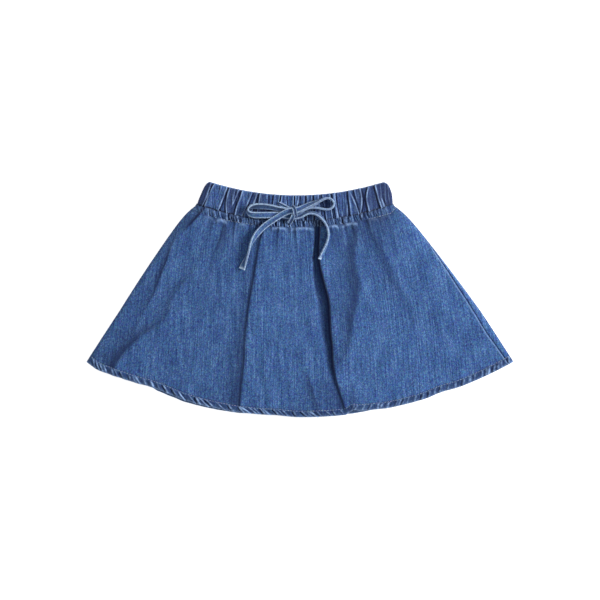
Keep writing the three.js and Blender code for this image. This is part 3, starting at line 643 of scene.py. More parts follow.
def front_surface(across, down):
    """The points of the front's outer side in mm, with their wear, and their darkness from dye and painted
    shade.
    """
    x, y = plan("front", across, down)
    from_edge = (1 - np.abs(across)) * half_width(down)
    rounded = 1 - np.exp(-from_edge / CROWN_EDGE)
    over_shorts = np.exp(-((across * half_width(down) / SHORTS_HALF) ** 4))
    fold, lean, fold_painted_shade = fold_relief(x, y)
    waist, waist_wear, waist_dye = waist_relief(x, across, down)
    hem, hem_wear, hem_dye = hem_relief("front", across, down)
    height = FRONT_BASE + CROWN * rounded + SHORTS_CROWN * rounded * over_shorts
    height = height + rounded * (fold + waist + wrinkles(x, y)) + hem - TURN_DOWN * bell(from_edge, TURN_WIDE)

    # the right side seam: a groove, a ridge beside it, and the edge that has rolled to the front
    inset = np.interp(down, [row["down"] for row in SIDE_SEAM], [row["inset"] for row in SIDE_SEAM])
    shown = (across > 0) * smooth(inset, 0.3, 1.6)
    seam = shown * bell(from_edge - inset, 0.5)
    seam_ridge = shown * bell(from_edge - inset - 1.25, 0.6)
    rolled_edge = shown * bell(from_edge, 0.9) * (1 - smooth(down, 0.55, 0.75))
    height = height + 0.35 * seam_ridge - 0.9 * seam

    # it stays above the back panel, and above the shorts where they are
    on_shorts = (1 - smooth(np.abs(x), 112, 124)) * (1 - smooth(down, 0.82, 0.87))
    height = np.maximum(height, 1.9 + 2.6 * smooth(from_edge, 1, 9) * on_shorts)
    tucked = bell(down * panel_length(across), TUCK_REACH)
    height = height + (TUCK_LEVEL - height) * tucked * smooth(from_edge, 0.5, 4)
    points = np.stack([x - lean, y + 1.8 * tucked, height], axis=-1)
    wear = np.maximum.reduce([waist_wear, hem_wear, 0.4 * seam_ridge, 0.45 * rolled_edge])
    # painted shade of the folds, under the waistband and in the gap where the cloth goes up into it, besides
    # kept indigo and the dark side seam
    dye = np.maximum.reduce([fold_painted_shade, waist_dye, hem_dye, tucked, seam])
    return points, wear, dye


def grain_of(across, down, y):
    """Across and along the grain in mm: nearly straight down, and fanning out a little with the flare."""
    return np.stack([across * (0.72 * half_width(down) + 0.28 * 175.0), y], axis=-1)


# %% Build the front panel
across, down = panel_grid(FRONT_COLUMNS, ROWS)
points, wear, dye = front_surface(across, down)
front = new_piece("skirt_front_cloth", points, grid_faces(*across.shape), {"wear": wear, "dye": dye},
                  grain_of(across, down, points[..., 1]))
thicken(front, DENIM_WALL)

# %% [markdown]
# ## The back of the skirt
#
# The same cut, but it lies on the table, so its outer side is flat but for shallow troughs where the cloth
# does not quite touch. It shows as a thin strip below the front's hem and from underneath. Its grid is made
# from the underside, so its faces are turned to look down.

# %% The back panel
BACK_COLUMNS = 340
BACK_ROWS = {"strip": 6, "gathers": 16, "middle": 24, "hem": 12}
TROUGHS = table_of("waist hem width rise fade", [
    # the middle of each as a share of the half width at both ends, its width and rise in mm, and how much
    # of its rise it has lost at the hem
    (-0.42, -0.32, 9.0, 0.45, 0), (0.33, 0.33, 8.0, 0.45, 0.6), (0.75, 0.65, 12.0, 0.3, 0),
])

across, down = panel_grid(BACK_COLUMNS, BACK_ROWS)
x, y = plan("back", across, down)
hem, hem_wear, hem_dye = hem_relief("back", across, down)
waist, waist_wear, waist_dye = waist_relief(-x, across, down)
trough = np.zeros(across.shape)
for row in TROUGHS:
    middle = row["waist"] + (row["hem"] - row["waist"]) * down
    section = bell((across - middle) * half_width(down), row["width"])
    trough += row["rise"] * (1 - row["fade"] * down) * section
relief = np.clip(trough + 0.35 - 0.35 * (hem + waist), 0, 1.1)
relief = relief * smooth((1 - np.abs(across)) * half_width(down), 0, 4)
points = np.stack([x, y, relief], axis=-1)
back = new_piece(
    "skirt_back_cloth", points, grid_faces(*across.shape)[:, ::-1],
    {"wear": np.maximum(hem_wear, waist_wear), "dye": np.maximum.reduce([hem_dye, waist_dye, 0.4 * trough])},
    grain_of(across, down, y),
)
thicken(back, DENIM_WALL)

# %% [markdown]
# ## The waistband
#
# A strip of denim folded over elastic makes a flattened tube of cloth round the waist. Its section is a long
# loop: up the outer side, over the fold at the top, down the inner side. Swept round the waist, that closes
# on itself both ways, like a ring. The elastic bunches the denim into uneven gathers, and the photograph
# shows each of them as a thin worn crest beside a dark valley, so they are set one by one: where each crest
# meets the top and the bottom of the band, which side its valley is on, and how high it stands.

# %% Gathers of the waistband
GATHERS = table_of("top bottom valley rise wear size bend start end", [
    (-97.0, -107.0, 1, 1.2, 0.6, 0.8, 0.6), (-93.4, -104.7, -1, 1.0, 0.75, 0.8, -1.0),
    (-86.5, -90.0, -1, 0.8, 0.7, 0.8, 0.0, -1, 0.2), (-80.0, -90.0, 1, 1.8, 0.95, 0.9, 0.6),
    (-76.4, -80.5, -1, 1.4, 0.7, 0.8, -2.2), (-71.0, -76.4, 1, 0.9, 0.45, 0.8, 0.0, -1, 0.6),
    (-66.7, -78.0, 1, 1.2, 0.75, 0.8, 0.0, -1, 0.65), (-62.6, -71.5, -1, 1.4, 0.9, 0.9, -0.3),
    (-52.5, -63.8, 1, 1.3, 0.7, 0.9, 0.4), (-59.0, -61.5, -1, 1.0, 0.6, 0.8, 0.0, 0.75),
    (-46.9, -55.5, 1, 1.6, 0.95, 0.9, 0.2), (-43.2, -48.0, -1, 1.3, 0.85, 0.8),
    (-35.5, -38.5, 1, 0.9, 0.4, 0.8, 0.2), (-27.8, -32.5, -1, 1.1, 0.5, 0.9, 0.3),
    (-22.2, -26.5, 1, 1.2, 0.75, 0.8), (-19.8, -23.0, -1, 1.1, 0.75, 0.7),
    (-15.7, -14.0, 1, 0.9, 0.5, 0.7, 0.0, -1, 0.5), (-7.2, -9.5, 1, 1.3, 0.75, 0.8, 0.2),
    (-5.0, -5.5, -1, 1.2, 0.7, 0.7), (-1.1, -5.0, 1, 1.2, 0.75, 0.8), (4.5, 3.8, 1, 1.1, 0.6, 0.8),
    (7.8, 7.6, -1, 1.2, 0.65, 0.7), (12.6, 14.4, 1, 1.1, 0.5, 0.8, 0.2), (15.8, 17.2, -1, 1.1, 0.5, 0.7),
    (20.0, 22.4, 1, 1.1, 0.5, 0.8, 0.2), (24.3, 29.0, -1, 1.0, 0.5, 0.8), (32.4, 35.5, 1, 1.2, 0.7, 0.7),
    (35.6, 40.0, -1, 1.3, 0.75, 0.7), (38.0, 42.0, 1, 1.5, 0.9, 0.8, -0.6),
    (44.5, 46.6, 1, 0.7, 0.4, 0.8, 0.0, 0.8), (51.8, 51.4, 1, 0.9, 0.4, 1.0, 0.4, 0.6),
    (53.0, 56.3, -1, 1.5, 0.75, 0.9, -0.3), (54.2, 64.4, 1, 1.2, 0.8, 0.8, 0.3, 0.1),
    (59.0, 66.0, -1, 1.1, 0.7, 0.8, 0.0, -1, 0.45), (65.2, 66.2, 1, 1.8, 0.9, 0.9, 1.8),
    (74.9, 75.7, -1, 1.5, 0.85, 0.9, -2.4), (81.8, 89.4, -1, 1.6, 0.9, 0.9, -0.6),
    (82.4, 92.7, 1, 1.0, 0.7, 0.9, 0.0, 0.6), (96.0, 99.0, -1, 0.7, 0.2, 1.3),
])
PANEL_TONES = table_of("x tone", [
    # how deep the colour of the cloth is between the gathers, from left to right
    (-114, 0.7), (-102, 0.62), (-97, 0.12), (-93, 0), (-86, 0), (-82, 0.12), (-79, 0.68), (-70, 0.55),
    (-65, 0.3), (-61, 0.14), (-54, 0.24), (-50, 0.75), (-43, 0.7), (-38, 0.22), (-30, 0.28), (-22, 0.35),
    (-17, 0), (-9, 0), (-5, 0.3), (1, 0.05), (6, 0.05), (10, 0.3), (17, 0.25), (24, 0.48), (30, 0.48),
    (37, 0.3), (43, 0.3), (50, 0.38), (54, 0.26), (58, 0.48), (64, 0.45), (68, 0.66), (75, 0.62),
    (81, 0.64), (88, 0.74), (104, 0.78),
])
SMALL_GATHERS = uneven_crests(41, -104, 98, 4.6, 0.25, 0.22, 2.0, 0.8)
BACK_GATHERS = uneven_crests(31, -98, 92, 6.6, 0.9, 0.6, 4.0, 1.1)
print("gathers across the front:", len(GATHERS))

# %% The waistband's ring
CASING = 3.0  # both layers of denim and the elastic between them
BAND_HEIGHT = 7.2
FRONT_STEPS, END_STEPS, BACK_STEPS = 640, 12, 220
CORNERS = {
    # half of the top edge on each side, and how wide and deep its corner is worn round
    "left": {"end": 99.6, "wide": 6.0, "deep": 2.4},
    "right": {"end": 103.7, "wide": 10.3, "deep": 12.0},
}


def band_ring():
    """Round the waist: share across, and turn from the front (0) over the right end to the back (180)."""
    front_share = np.linspace(0, 1, FRONT_STEPS)
    end = np.linspace(0, 180, END_STEPS + 2)[1:-1]
    back_share = np.linspace(1, 0, BACK_STEPS)
    share = np.concatenate([front_share, np.ones(END_STEPS), back_share, np.zeros(END_STEPS)])
    turn = np.concatenate([np.zeros(FRONT_STEPS), end, np.full(BACK_STEPS, 180.0), 180 + end])
    return share, np.radians(turn)


def band_section():
    """Up the outer side, over the top, down the inner side and back under: share from the top, and side."""
    outer = [(v, 1.0) for v in np.linspace(0.965, 0.05, 27)]
    over = [(0.05 - 0.05 * math.sin(a), math.cos(a)) for a in np.linspace(0.35, math.pi - 0.35, 6)]
    inner = [(v, -1.0) for v in np.linspace(0.08, 0.93, 6)]
    under = [(0.97 + 0.03 * math.sin(a), -math.cos(a)) for a in np.linspace(0.5, math.pi - 0.5, 4)]
    return np.array(outer + over + inner + under)


# %% The waistband's relief
share, turn = band_ring()
section = band_section()
v, side = section[:, :1], section[:, 1:]
s = 2 * share[None, :] - 1
corner_end, corner_wide, corner_deep = (
    np.where(s > 0, CORNERS["right"][key], CORNERS["left"][key]) for key in ("end", "wide", "deep"))
seam_half = ARCS["waist_seam"]["half"]
half = corner_end + (seam_half - corner_end) * v**0.8
shift = BAND_SHIFT + (WAIST_SHIFT - BAND_SHIFT) * v
x_plan = (half - BAND_HEIGHT / 2) * s + shift
gather, gather_wear, gather_dye = crests(x_plan, v, GATHERS)
small, small_wear, small_dye = crests(x_plan, v, SMALL_GATHERS)
tuck, tuck_wear, tuck_dye = crests(x_plan, v, BACK_GATHERS)
gather = gather + small
gather_wear = np.maximum(gather_wear, small_wear)
panel_x = x_plan + 8.0 * (v - 0.5) * np.clip(-x_plan / 80, -1, 1)  # panels splay out as the gathers do
gather_dye = np.maximum.reduce([gather_dye, small_dye, tone_at(panel_x, PANEL_TONES)])

# %% The waistband's surface
on_front = (turn == 0).astype(float)[None, :]
on_back = np.isclose(turn, math.pi).astype(float)[None, :]
near_end = smooth(np.minimum(share, 1 - share)[None, :], 0.0, 0.015)
quilt = near_end * (on_front * (0.45 + gather) + on_back * np.minimum(tuck - 0.5, 0))
showing = smooth(side, -0.2, 0.9)
bulge = 1 - 0.35 * np.abs(2 * v - 1) ** 6  # the casing is fullest between its edges
# how far a point is from the middle line round which the ring turns at its ends
reach = (BAND_HEIGHT - CASING) / 2 + side * CASING / 2 * bulge + showing * quilt * smooth(v, -0.02, 0.06)
ring_x = x_plan + np.sin(turn)[None, :] * reach
ring_z = np.maximum(BAND_HEIGHT / 2 + np.cos(turn)[None, :] * reach, 0.0)
past_corner = np.clip((np.abs(ring_x - shift) - corner_end) / corner_wide + 1, 0, 1)
top_y = arc_y("band_top", corner_end * s) - corner_deep * past_corner**2.1
ring_y = top_y * (1 - v) + arc_y("waist_seam", seam_half * s) * v
# crests reach down over the seam, and make the top edge uneven
hang = smooth(v, 0.75, 1.0) * (0.9 * gather - 0.1) - 0.5 * np.exp(-v / 0.05) * (gather - 0.2)
points = np.stack([ring_x, ring_y - np.clip(on_front * showing * hang, -0.9, 1.3), ring_z], axis=-1)

# %% The waistband's wear and its mesh
wear = showing * (on_front * gather_wear + on_back * tuck_wear)
wear = np.maximum(wear, 0.35 * bell(v, 0.035) * showing)
dye = showing * np.maximum((1 - on_back) * gather_dye, on_back * tuck_dye)
# painted shade along the band's lower edge, where it meets the skirt
dye = np.maximum(dye, smooth(v, 0.93, 1.0) * (0.55 + 0.45 * gather_dye))
# painted shadow of the bow's left loop: the cloth between its two strands lies in its shade, so it is painted
# nearly dark and its wear is taken away
LOOP_X, LOOP_Y, LOOP_LONG, LOOP_WIDE = -37, 97.9, 15, 1.7
painted_loop_shadow = np.exp(-(((ring_x - LOOP_X) / LOOP_LONG) ** 4)) * bell(ring_y - LOOP_Y, LOOP_WIDE)
dye = np.maximum(dye, on_front * 0.97 * painted_loop_shadow)
wear = wear * (1 - painted_loop_shadow)
around = np.cumsum(np.r_[0, np.hypot(np.diff(ring_x[10]), np.diff(ring_z[10]))])
grain = np.stack(np.broadcast_arrays(around[None, :], v * 28.0 + 200 * (side < 0)), axis=-1)
band = new_piece("waistband_casing", points, grid_faces(*ring_x.shape, ring=True, tube=True)[:, ::-1],
                 {"wear": wear, "dye": dye}, grain)
print("waistband has", 2 * len(band.data.polygons), "triangles")

# %% [markdown]
# ## The shorts inside
#
# A skort has shorts under its skirt. In this lay they are covered, so they are two plain jersey panels with
# short legs, sewn into the waist seam, lying on each other between the skirt's panels.

# %% Shorts panels
SHORTS = {"waist_half": 88.0, "hip_half": 110.0, "leg_half": 112.0, "crotch_y": -42.0, "leg_y": -76.0,
          "inseam_x": 9.0}
SHORTS_ROWS, SHORTS_COLUMNS = 40, 36
JERSEY_WALL = 0.6


def shorts_panel(name, level):
    """Two mirrored grids, joined in the middle down to the crotch, and apart below it for the legs."""
    t = np.linspace(0, 1, SHORTS_ROWS)[:, None]
    a = np.linspace(0, 1, SHORTS_COLUMNS)[None, :]
    top_y = arc_y("waist_seam", SHORTS["waist_half"] * a) - 2.0
    y = top_y + (SHORTS["leg_y"] - top_y) * t
    hip = np.sin(np.pi / 2 * np.clip(1.6 * t, 0, 1))
    outer = SHORTS["waist_half"] + (SHORTS["hip_half"] - SHORTS["waist_half"]) * hip
    outer = outer + (SHORTS["leg_half"] - SHORTS["hip_half"]) * t
    inner = SHORTS["inseam_x"] * smooth(SHORTS["crotch_y"] - y[:, :1], -6.0, 6.0)
    points, faces = [], []
    for sign in (-1, 1):
        x = sign * (inner + (outer - inner) * a) + WAIST_SHIFT
        z = level + 0.12 * np.sin(x / 9.0) * np.sin(y / 21.0)
        faces.append(grid_faces(SHORTS_ROWS, SHORTS_COLUMNS)[:, ::sign] + len(points) * x.size)
        points.append(np.stack([x, y, z], axis=-1).reshape(-1, 3))
    points = np.vstack(points)
    none = np.zeros(len(points))
    panel = new_piece(name, points, np.vstack(faces), {"wear": none, "dye": none}, points[:, :2])
    weld = panel.modifiers.new("weld", "WELD")
    weld.merge_threshold = 0.02 * MM
    apply_modifiers(panel)
    thicken(panel, JERSEY_WALL)
    return panel


shorts_back = shorts_panel("shorts_back_jersey", 2.45)
shorts_front = shorts_panel("shorts_front_jersey", 3.35)

# %% [markdown]
# ## The drawstring
#
# A narrow denim tape, folded and stitched flat, comes out of two buttonholes and is tied in a bow. It is
# swept along a listed route: each row gives the middle of the tape, how far it is turned on edge, and
# its width there. Where it lies flat it looks wide, and where it stands on edge it looks like a cord. Its two
# folded edges are thicker and worn pale. One string makes the right loop and the left end, and the other the
# left loop and the right end, as in any bow.

# %% The tape's profile
TAPE_THICK = 2.2  # at its folded edges; it is half that in its middle
TAPE_EDGE = [
    # mm in from the fold, share of the half thickness, wear: round one folded edge, from above to below
    (1.9, 0.50, 0.0), (1.35, 0.90, 0.25), (0.85, 1.0, 0.85), (0.35, 0.85, 1.0), (0.05, 0.4, 0.7),
    (0.0, 0.0, 0.3), (0.05, -0.4, 0.7), (0.35, -0.85, 1.0), (0.85, -1.0, 0.85), (1.35, -0.90, 0.25),
    (1.9, -0.50, 0.0),
]
EDGE_REACH = TAPE_EDGE[0][0]
# one point of the profile: its place as a share of the half width and mm added to it, thickness and wear
TAPE_PROFILE = np.array(
    [(1.0, -inset, thick, wear) for inset, thick, wear in TAPE_EDGE]
    + [(k, -k * EDGE_REACH, -0.5, 0.0) for k in (0.5, 0.0, -0.5)]
    + [(-1.0, inset, thick, wear) for inset, thick, wear in reversed(TAPE_EDGE)]
    + [(k, -k * EDGE_REACH, 0.5, 0.0) for k in (-0.5, 0.0, 0.5)])[::-1]
print("points round the tape:", len(TAPE_PROFILE))


# %% Tape helpers
def route_curve(rows, step):
    """Points along a smooth curve through the rows, about step mm apart, with every column carried along."""
    rows = np.asarray(rows, float)
    chord = np.r_[0, np.cumsum(np.sqrt(np.linalg.norm(np.diff(rows[:, :3], axis=0), axis=1)))]
    fine = np.linspace(0, chord[-1], 40 * len(rows))
    i = np.clip(np.searchsorted(chord, fine) - 1, 0, len(rows) - 2)
    width = (chord[i + 1] - chord[i])[:, None]
    f = (fine[:, None] - chord[i][:, None]) / width
    slope = np.gradient(rows, chord, axis=0)
    curve = hermite(f, rows[i], rows[i + 1], slope[i] * width, slope[i + 1] * width)
    length = np.r_[0, np.cumsum(np.linalg.norm(np.diff(curve[:, :3], axis=0), axis=1))]
    even = np.linspace(0, length[-1], max(4, int(length[-1] / step)))
    return np.stack([np.interp(even, length, curve[:, k]) for k in range(rows.shape[1])], axis=-1), length[-1]


def tape(name, rows, step=1.0, worn_tip=False):
    """A flat tape along a route of x, y, z, turn in degrees, width and painted shade: its piece, middle and
    length.
    """
    line, length = route_curve(rows, step)
    middle, turn, width, tone = line[:, :3], np.radians(line[:, 3:4]), line[:, 4:5], line[:, 5:6]
    tangent = np.gradient(middle, axis=0)
    tangent /= np.linalg.norm(tangent, axis=1, keepdims=True)
    flat_side = np.cross([0.0, 0.0, 1.0], tangent)
    flat_side /= np.linalg.norm(flat_side, axis=1, keepdims=True)
    up = np.cross(tangent, flat_side)
    across_tape = flat_side * np.cos(turn) + up * np.sin(turn)
    through = np.cross(tangent, across_tape)
    share, added, thick, rub = TAPE_PROFILE.T
    aside = share[None, :] * width / 2 + added[None, :]
    points = (middle[:, None, :] + across_tape[:, None, :] * aside[:, :, None]
              + through[:, None, :] * (thick[None, :, None] * TAPE_THICK / 2))
    count, ring = points.shape[:2]
    faces = grid_faces(count, ring, ring=True)[:, ::-1].tolist()
    faces.append(list(range(ring)))
    faces.append(list(range(count * ring - 1, (count - 1) * ring - 1, -1)))
    at = np.linspace(0, length, count)[:, None]
    # painted shade: where the tape is painted in shade, the edge on its right hand is the deeper one, and
    # loses its pale wear
    rub = rub[None, :] * np.clip(1 - 1.3 * tone * (share[None, :] > 0), 0, 1)
    wear = rub * (0.72 + 0.22 * np.sin(at * 1.7) * np.sin(at * 0.53))
    if worn_tip:
        wear = np.maximum(wear, smooth(at, length - 4.0, length - 0.5))
    dye = (0.12 + tone) * (1 - 0.7 * rub)
    grain = np.stack(np.broadcast_arrays(aside, at), axis=-1)
    piece = new_piece(name, points, faces, {"wear": wear, "dye": dye}, grain)
    print(name, "is", round(float(length)), "mm long")
    return piece, middle, float(length)


# %% Routes of the two strings
# x, y, z of the tape's middle in mm, degrees turned on edge, width in mm, and how much shade is painted on it
# there
STRING_A = [
    (-22.6, 105.6, 9.8, 25, 4.6, 0.0), (-17.4, 102.8, 11.0, 25, 4.8, 0.0),
    (-12.5, 99.8, 12.0, 30, 5.4, 0.2), (-7.0, 96.4, 12.8, 45, 6.0, 0.2), (-1.7, 95.4, 13.4, 66, 6.4, 0.1),
    (1.6, 96.4, 13.6, 76, 6.4, 0.0), (5.8, 98.7, 13.6, 82, 6.4, 0.0), (10.5, 100.3, 13.6, 84, 6.4, 0.0),
    (15.1, 100.5, 13.6, 84, 6.4, 0.0), (19.6, 100.2, 13.6, 84, 6.4, 0.0),
    (24.2, 99.4, 13.6, 86, 6.4, 0.0), (29.7, 98.9, 13.6, 88, 6.4, 0.0), (33.9, 100.0, 13.6, 90, 6.4, 0.0),
    (36.4, 102.6, 13.6, 90, 6.4, 0.0), (37.0, 105.8, 13.6, 90, 6.4, 0.0),
    (35.6, 108.7, 13.6, 90, 6.4, 0.0), (32.6, 110.8, 13.6, 88, 6.4, 0.0),
    (29.3, 111.2, 13.6, 86, 6.4, 0.0), (26.2, 110.4, 13.8, 80, 6.6, 0.0),
    (21.0, 108.1, 14.0, 72, 6.8, 0.05), (15.1, 105.8, 14.2, 58, 7.0, 0.15),
    (10.0, 103.8, 14.6, 46, 7.0, 0.15), (5.0, 101.6, 15.0, 36, 7.0, 0.1),
    (-0.5, 99.0, 15.6, 24, 7.0, 0.1), (-6.0, 97.6, 16.0, 8, 7.0, 0.2), (-11.5, 97.0, 15.8, 0, 6.9, 0.2),
    (-16.4, 95.2, 15.2, -2, 6.8, 0.1), (-21.0, 92.7, 14.4, -4, 6.7, 0.05),
    (-26.4, 89.4, 13.9, -4, 6.6, 0.0), (-32.8, 85.2, 13.6, -6, 6.6, 0.05),
    (-38.6, 81.0, 13.5, -10, 6.6, 0.0), (-43.6, 76.3, 13.5, -20, 6.7, 0.0),
    (-48.0, 71.2, 13.7, -38, 6.8, 0.0), (-51.8, 65.2, 13.3, -62, 6.8, 0.0),
    (-54.2, 59.4, 12.9, -80, 6.8, 0.0), (-56.4, 51.6, 12.4, -94, 6.8, 0.0),
    (-59.6, 43.4, 11.8, -122, 6.8, 0.0), (-61.8, 38.2, 11.4, -146, 7.0, 0.0),
    (-63.5, 33.8, 10.8, -160, 7.2, 0.0),
]
STRING_B = [
    (20.0, 107.0, 9.8, 30, 5.0, 0.2), (12.0, 103.8, 10.8, 20, 5.5, 0.2), (3.0, 100.0, 11.2, 0, 6.0, 0.2),
    (-6.0, 97.4, 11.8, -20, 6.4, 0.2), (-14.0, 98.2, 12.2, -36, 6.4, 0.1),
    (-19.5, 99.2, 12.4, -46, 6.8, 0.1), (-25.2, 100.2, 12.6, -48, 7.0, 0.1),
    (-31.2, 101.3, 12.6, -42, 7.2, 0.2), (-38.0, 102.2, 12.6, -36, 7.4, 0.4),
    (-43.5, 102.5, 12.7, -34, 7.4, 0.5), (-49.0, 102.4, 12.9, -40, 7.2, 0.6),
    (-53.6, 101.6, 13.2, -60, 6.8, 0.5), (-56.8, 99.2, 13.4, -88, 6.6, 0.1),
    (-56.6, 96.2, 13.1, -120, 6.6, 0.0), (-53.6, 93.8, 12.8, -150, 6.8, 0.0),
    (-49.5, 92.9, 12.6, -166, 7.0, 0.0), (-43.5, 92.7, 12.5, -174, 7.0, 0.0),
    (-36.0, 92.8, 12.4, -176, 7.0, 0.0), (-28.0, 93.0, 12.4, -176, 7.0, 0.0),
    (-20.0, 93.0, 12.2, -176, 7.0, 0.1), (-11.0, 91.6, 12.0, -186, 7.0, 0.2),
    (-4.6, 91.0, 12.2, -212, 6.8, 0.0), (0.8, 91.7, 12.6, -232, 6.8, 0.0),
    (5.0, 93.6, 12.8, -242, 6.8, 0.0), (9.4, 95.2, 12.9, -246, 6.8, 0.0),
    (14.6, 95.0, 12.9, -246, 6.8, 0.05), (20.0, 92.8, 13.0, -248, 6.8, 0.05),
    (24.4, 88.8, 13.3, -254, 6.8, 0.0), (28.2, 83.2, 13.6, -262, 6.8, 0.0),
    (30.6, 76.6, 13.8, -266, 6.8, 0.0), (31.2, 70.0, 13.7, -266, 6.8, 0.0),
    (29.8, 63.6, 13.3, -262, 6.8, 0.0), (27.4, 57.4, 12.7, -254, 6.8, 0.0),
    (24.6, 50.6, 12.2, -242, 6.8, 0.0), (22.0, 44.4, 11.6, -228, 6.8, 0.0),
]
string_a, string_a_line, string_a_length = tape("drawstring_a", STRING_A, worn_tip=True)
string_b, string_b_line, string_b_length = tape("drawstring_b", STRING_B, worn_tip=True)

# %% The knot
# Two short wraps of the same tape: one over the middle, and the turn that hangs below it. Their last column
# paints shade on them, deepest in their middle.
KNOT_WRAPS = [
    [(-8.6, 102.2, 12.4, 0, 4.6, 0.3), (-7.0, 100.6, 16.2, 0, 4.6, 0.4), (-5.8, 97.8, 18.2, 0, 4.8, 0.5),
     (-5.2, 94.4, 17.6, 0, 4.8, 0.5), (-4.9, 91.8, 14.6, 0, 4.6, 0.4)],
    [(-6.4, 95.6, 15.2, 0, 4.6, 0.3), (-7.4, 92.0, 16.0, -6, 4.8, 0.4), (-9.2, 88.0, 14.7, -8, 5.2, 0.5),
     (-11.2, 84.2, 12.4, -6, 5.0, 0.4)],
]
wraps = [tape(f"wrap_{k}", rows, step=0.7)[0] for k, rows in enumerate(KNOT_WRAPS)]
bpy.ops.object.select_all(action="DESELECT")
for wrap in wraps:
    wrap.select_set(True)
bpy.context.view_layer.objects.active = wraps[0]
bpy.ops.object.join()
knot = bpy.context.object
knot.name = "drawstring_knot_wraps"
knot.data.name = knot.name

# %% [markdown]
# ## Sewing
#
# A row of topstitching is a string of short stitches that sink a little into the cloth. One stitch is made
# from a primitive, as a low sphere drawn out along the seam, and then copied along each seam by code. The
# stitches sit on the same surface function as the cloth, so they follow every pucker.

# %% One stitch, copied along the seams
STITCH_LENGTH = 2.8
STITCH_GAP = 0.3
THREAD_THICK = 0.6

bpy.ops.object.select_all(action="DESELECT")
bpy.ops.mesh.primitive_uv_sphere_add(segments=6, ring_count=5, radius=0.5)
stitch = bpy.context.object
bpy.ops.object.mode_set(mode="EDIT")
bpy.ops.mesh.select_all(action="SELECT")
bpy.ops.transform.resize(value=(STITCH_LENGTH, THREAD_THICK, THREAD_THICK))
bpy.ops.object.mode_set(mode="OBJECT")
stitch_points = np.array([v.co for v in stitch.data.vertices])
stitch_faces = [list(p.vertices) for p in stitch.data.polygons]
bpy.data.objects.remove(stitch)


def sew(name, line):
    """Copies of the stitch along a line of points in mm, as one piece."""
    length = np.r_[0, np.cumsum(np.linalg.norm(np.diff(line, axis=0), axis=1))]
    count = int(length[-1] / (STITCH_LENGTH + STITCH_GAP))
    at = (np.arange(count) + 0.5) * length[-1] / count
    place, ahead = (
        np.stack([np.interp(at + d, length, line[:, k]) for k in range(3)], axis=-1) for d in (0.0, 0.8))
    tangent = ahead - place
    tangent /= np.linalg.norm(tangent, axis=1, keepdims=True) + 1e-9
    side = np.cross([0.0, 0.0, 1.0], tangent)
    side /= np.linalg.norm(side, axis=1, keepdims=True)
    axes = np.stack([tangent, side, np.cross(tangent, side)], axis=1)
    points = place[:, None, :] + stitch_points @ axes
    faces = [[i + k * len(stitch_points) for i in face] for k in range(count) for face in stitch_faces]
    piece = new_piece(name, points, faces, {"wear": np.zeros(points.shape[:2])}, points[..., :2])
    print(name, "has", count, "stitches")
    return piece


def seam_line(across, down, lift):
    """Points on the front, lift mm above its cloth."""
    points, _, _ = front_surface(across, down)
    points[..., 2] += lift
    return points


fine = np.linspace(-0.995, 0.995, 900)
hem_thread = sew("hem_topstitch", seam_line(fine, 1 - HEM_DEPTH / panel_length(fine), 0.12))
# the waist's stitches lie on the cloth at two places, and elsewhere they have sunk between the puckers
at_x = fine * ARCS["waist_seam"]["half"] + WAIST_SHIFT
on_top = smooth(at_x, -84, -79) * (1 - smooth(at_x, -52, -47)) + smooth(at_x, 66, 72)
waist_line = seam_line(fine, strip_depth(fine) / panel_length(fine), 0.6 * on_top - 0.42)
waist_thread = sew("waist_topstitch", waist_line)

# %% [markdown]
# ## Finishes
#
# Denim is a twill of indigo warp and white weft. Seen from a metre away the eye gets mid blue with fine pale
# and dark streaks along the warp, because the yarn is uneven, and a nearly matt surface with a faint sheen
# from the loose fibres. Indigo sits only on the outside of each yarn, so it rubs off to pale blue along every
# crest and stays dark in every valley. The attribute `wear` says where it has rubbed off, and the other
# attribute where it stays dark, together with painted shade in folds, hollows and gaps and under the bow.
#
# One function turns a hex colour to linear, one adds a node with its settings and links, and one builds a
# cloth from a few colours. The sizes of all patterns are in millimetres.

# %% Helpers for materials
def colour(code):
    """A hex sRGB colour as linear red, green, blue and alpha."""
    parts = [int(code[k:k + 2], 16) / 255 for k in (1, 3, 5)]
    linear = [c / 12.92 if c <= 0.04045 else ((c + 0.055) / 1.055) ** 2.4 for c in parts]
    return (*linear, 1.0)


def add_node(tree, kind, settings=None, **links):
    """Adds a node. settings are its properties, and links its input values or the sockets that feed them."""
    node = tree.nodes.new(kind)
    for key, value in (settings or {}).items():
        setattr(node, key, value)
    for key, value in links.items():
        name = key.replace("_", " ")
        socket = node.inputs[int(key[1:])] if key[0] == "i" and key[1:].isdigit() else node.inputs[name]
        if isinstance(value, bpy.types.NodeSocket):
            tree.links.new(value, socket)
        else:
            socket.default_value = value
    return node


def set_ramp(node, stops):
    """Gives a colour ramp its stops: place and hex colour."""
    ramp = node.color_ramp
    while len(ramp.elements) < len(stops):
        ramp.elements.new(0.5)
    for element, (place, code) in zip(ramp.elements, stops):
        element.position = place
        element.color = colour(code)


# %% A woven cloth
WASH_SPOT = (15.0, 26.0)  # width and length in mm of one cloud of the wash
YARN_FLOAT = (0.8, 0.95)  # of one float of yarn: real ones are 0.5 mm wide, and drawn wider so that they show
TWILL_SPACING = 0.691  # between two of the twill's slanted lines in mm, as on a light denim
TWILL_ANGLE = 62
WAVE_SPACING = math.pi / 10  # between two lines of Blender's wave texture at scale 1


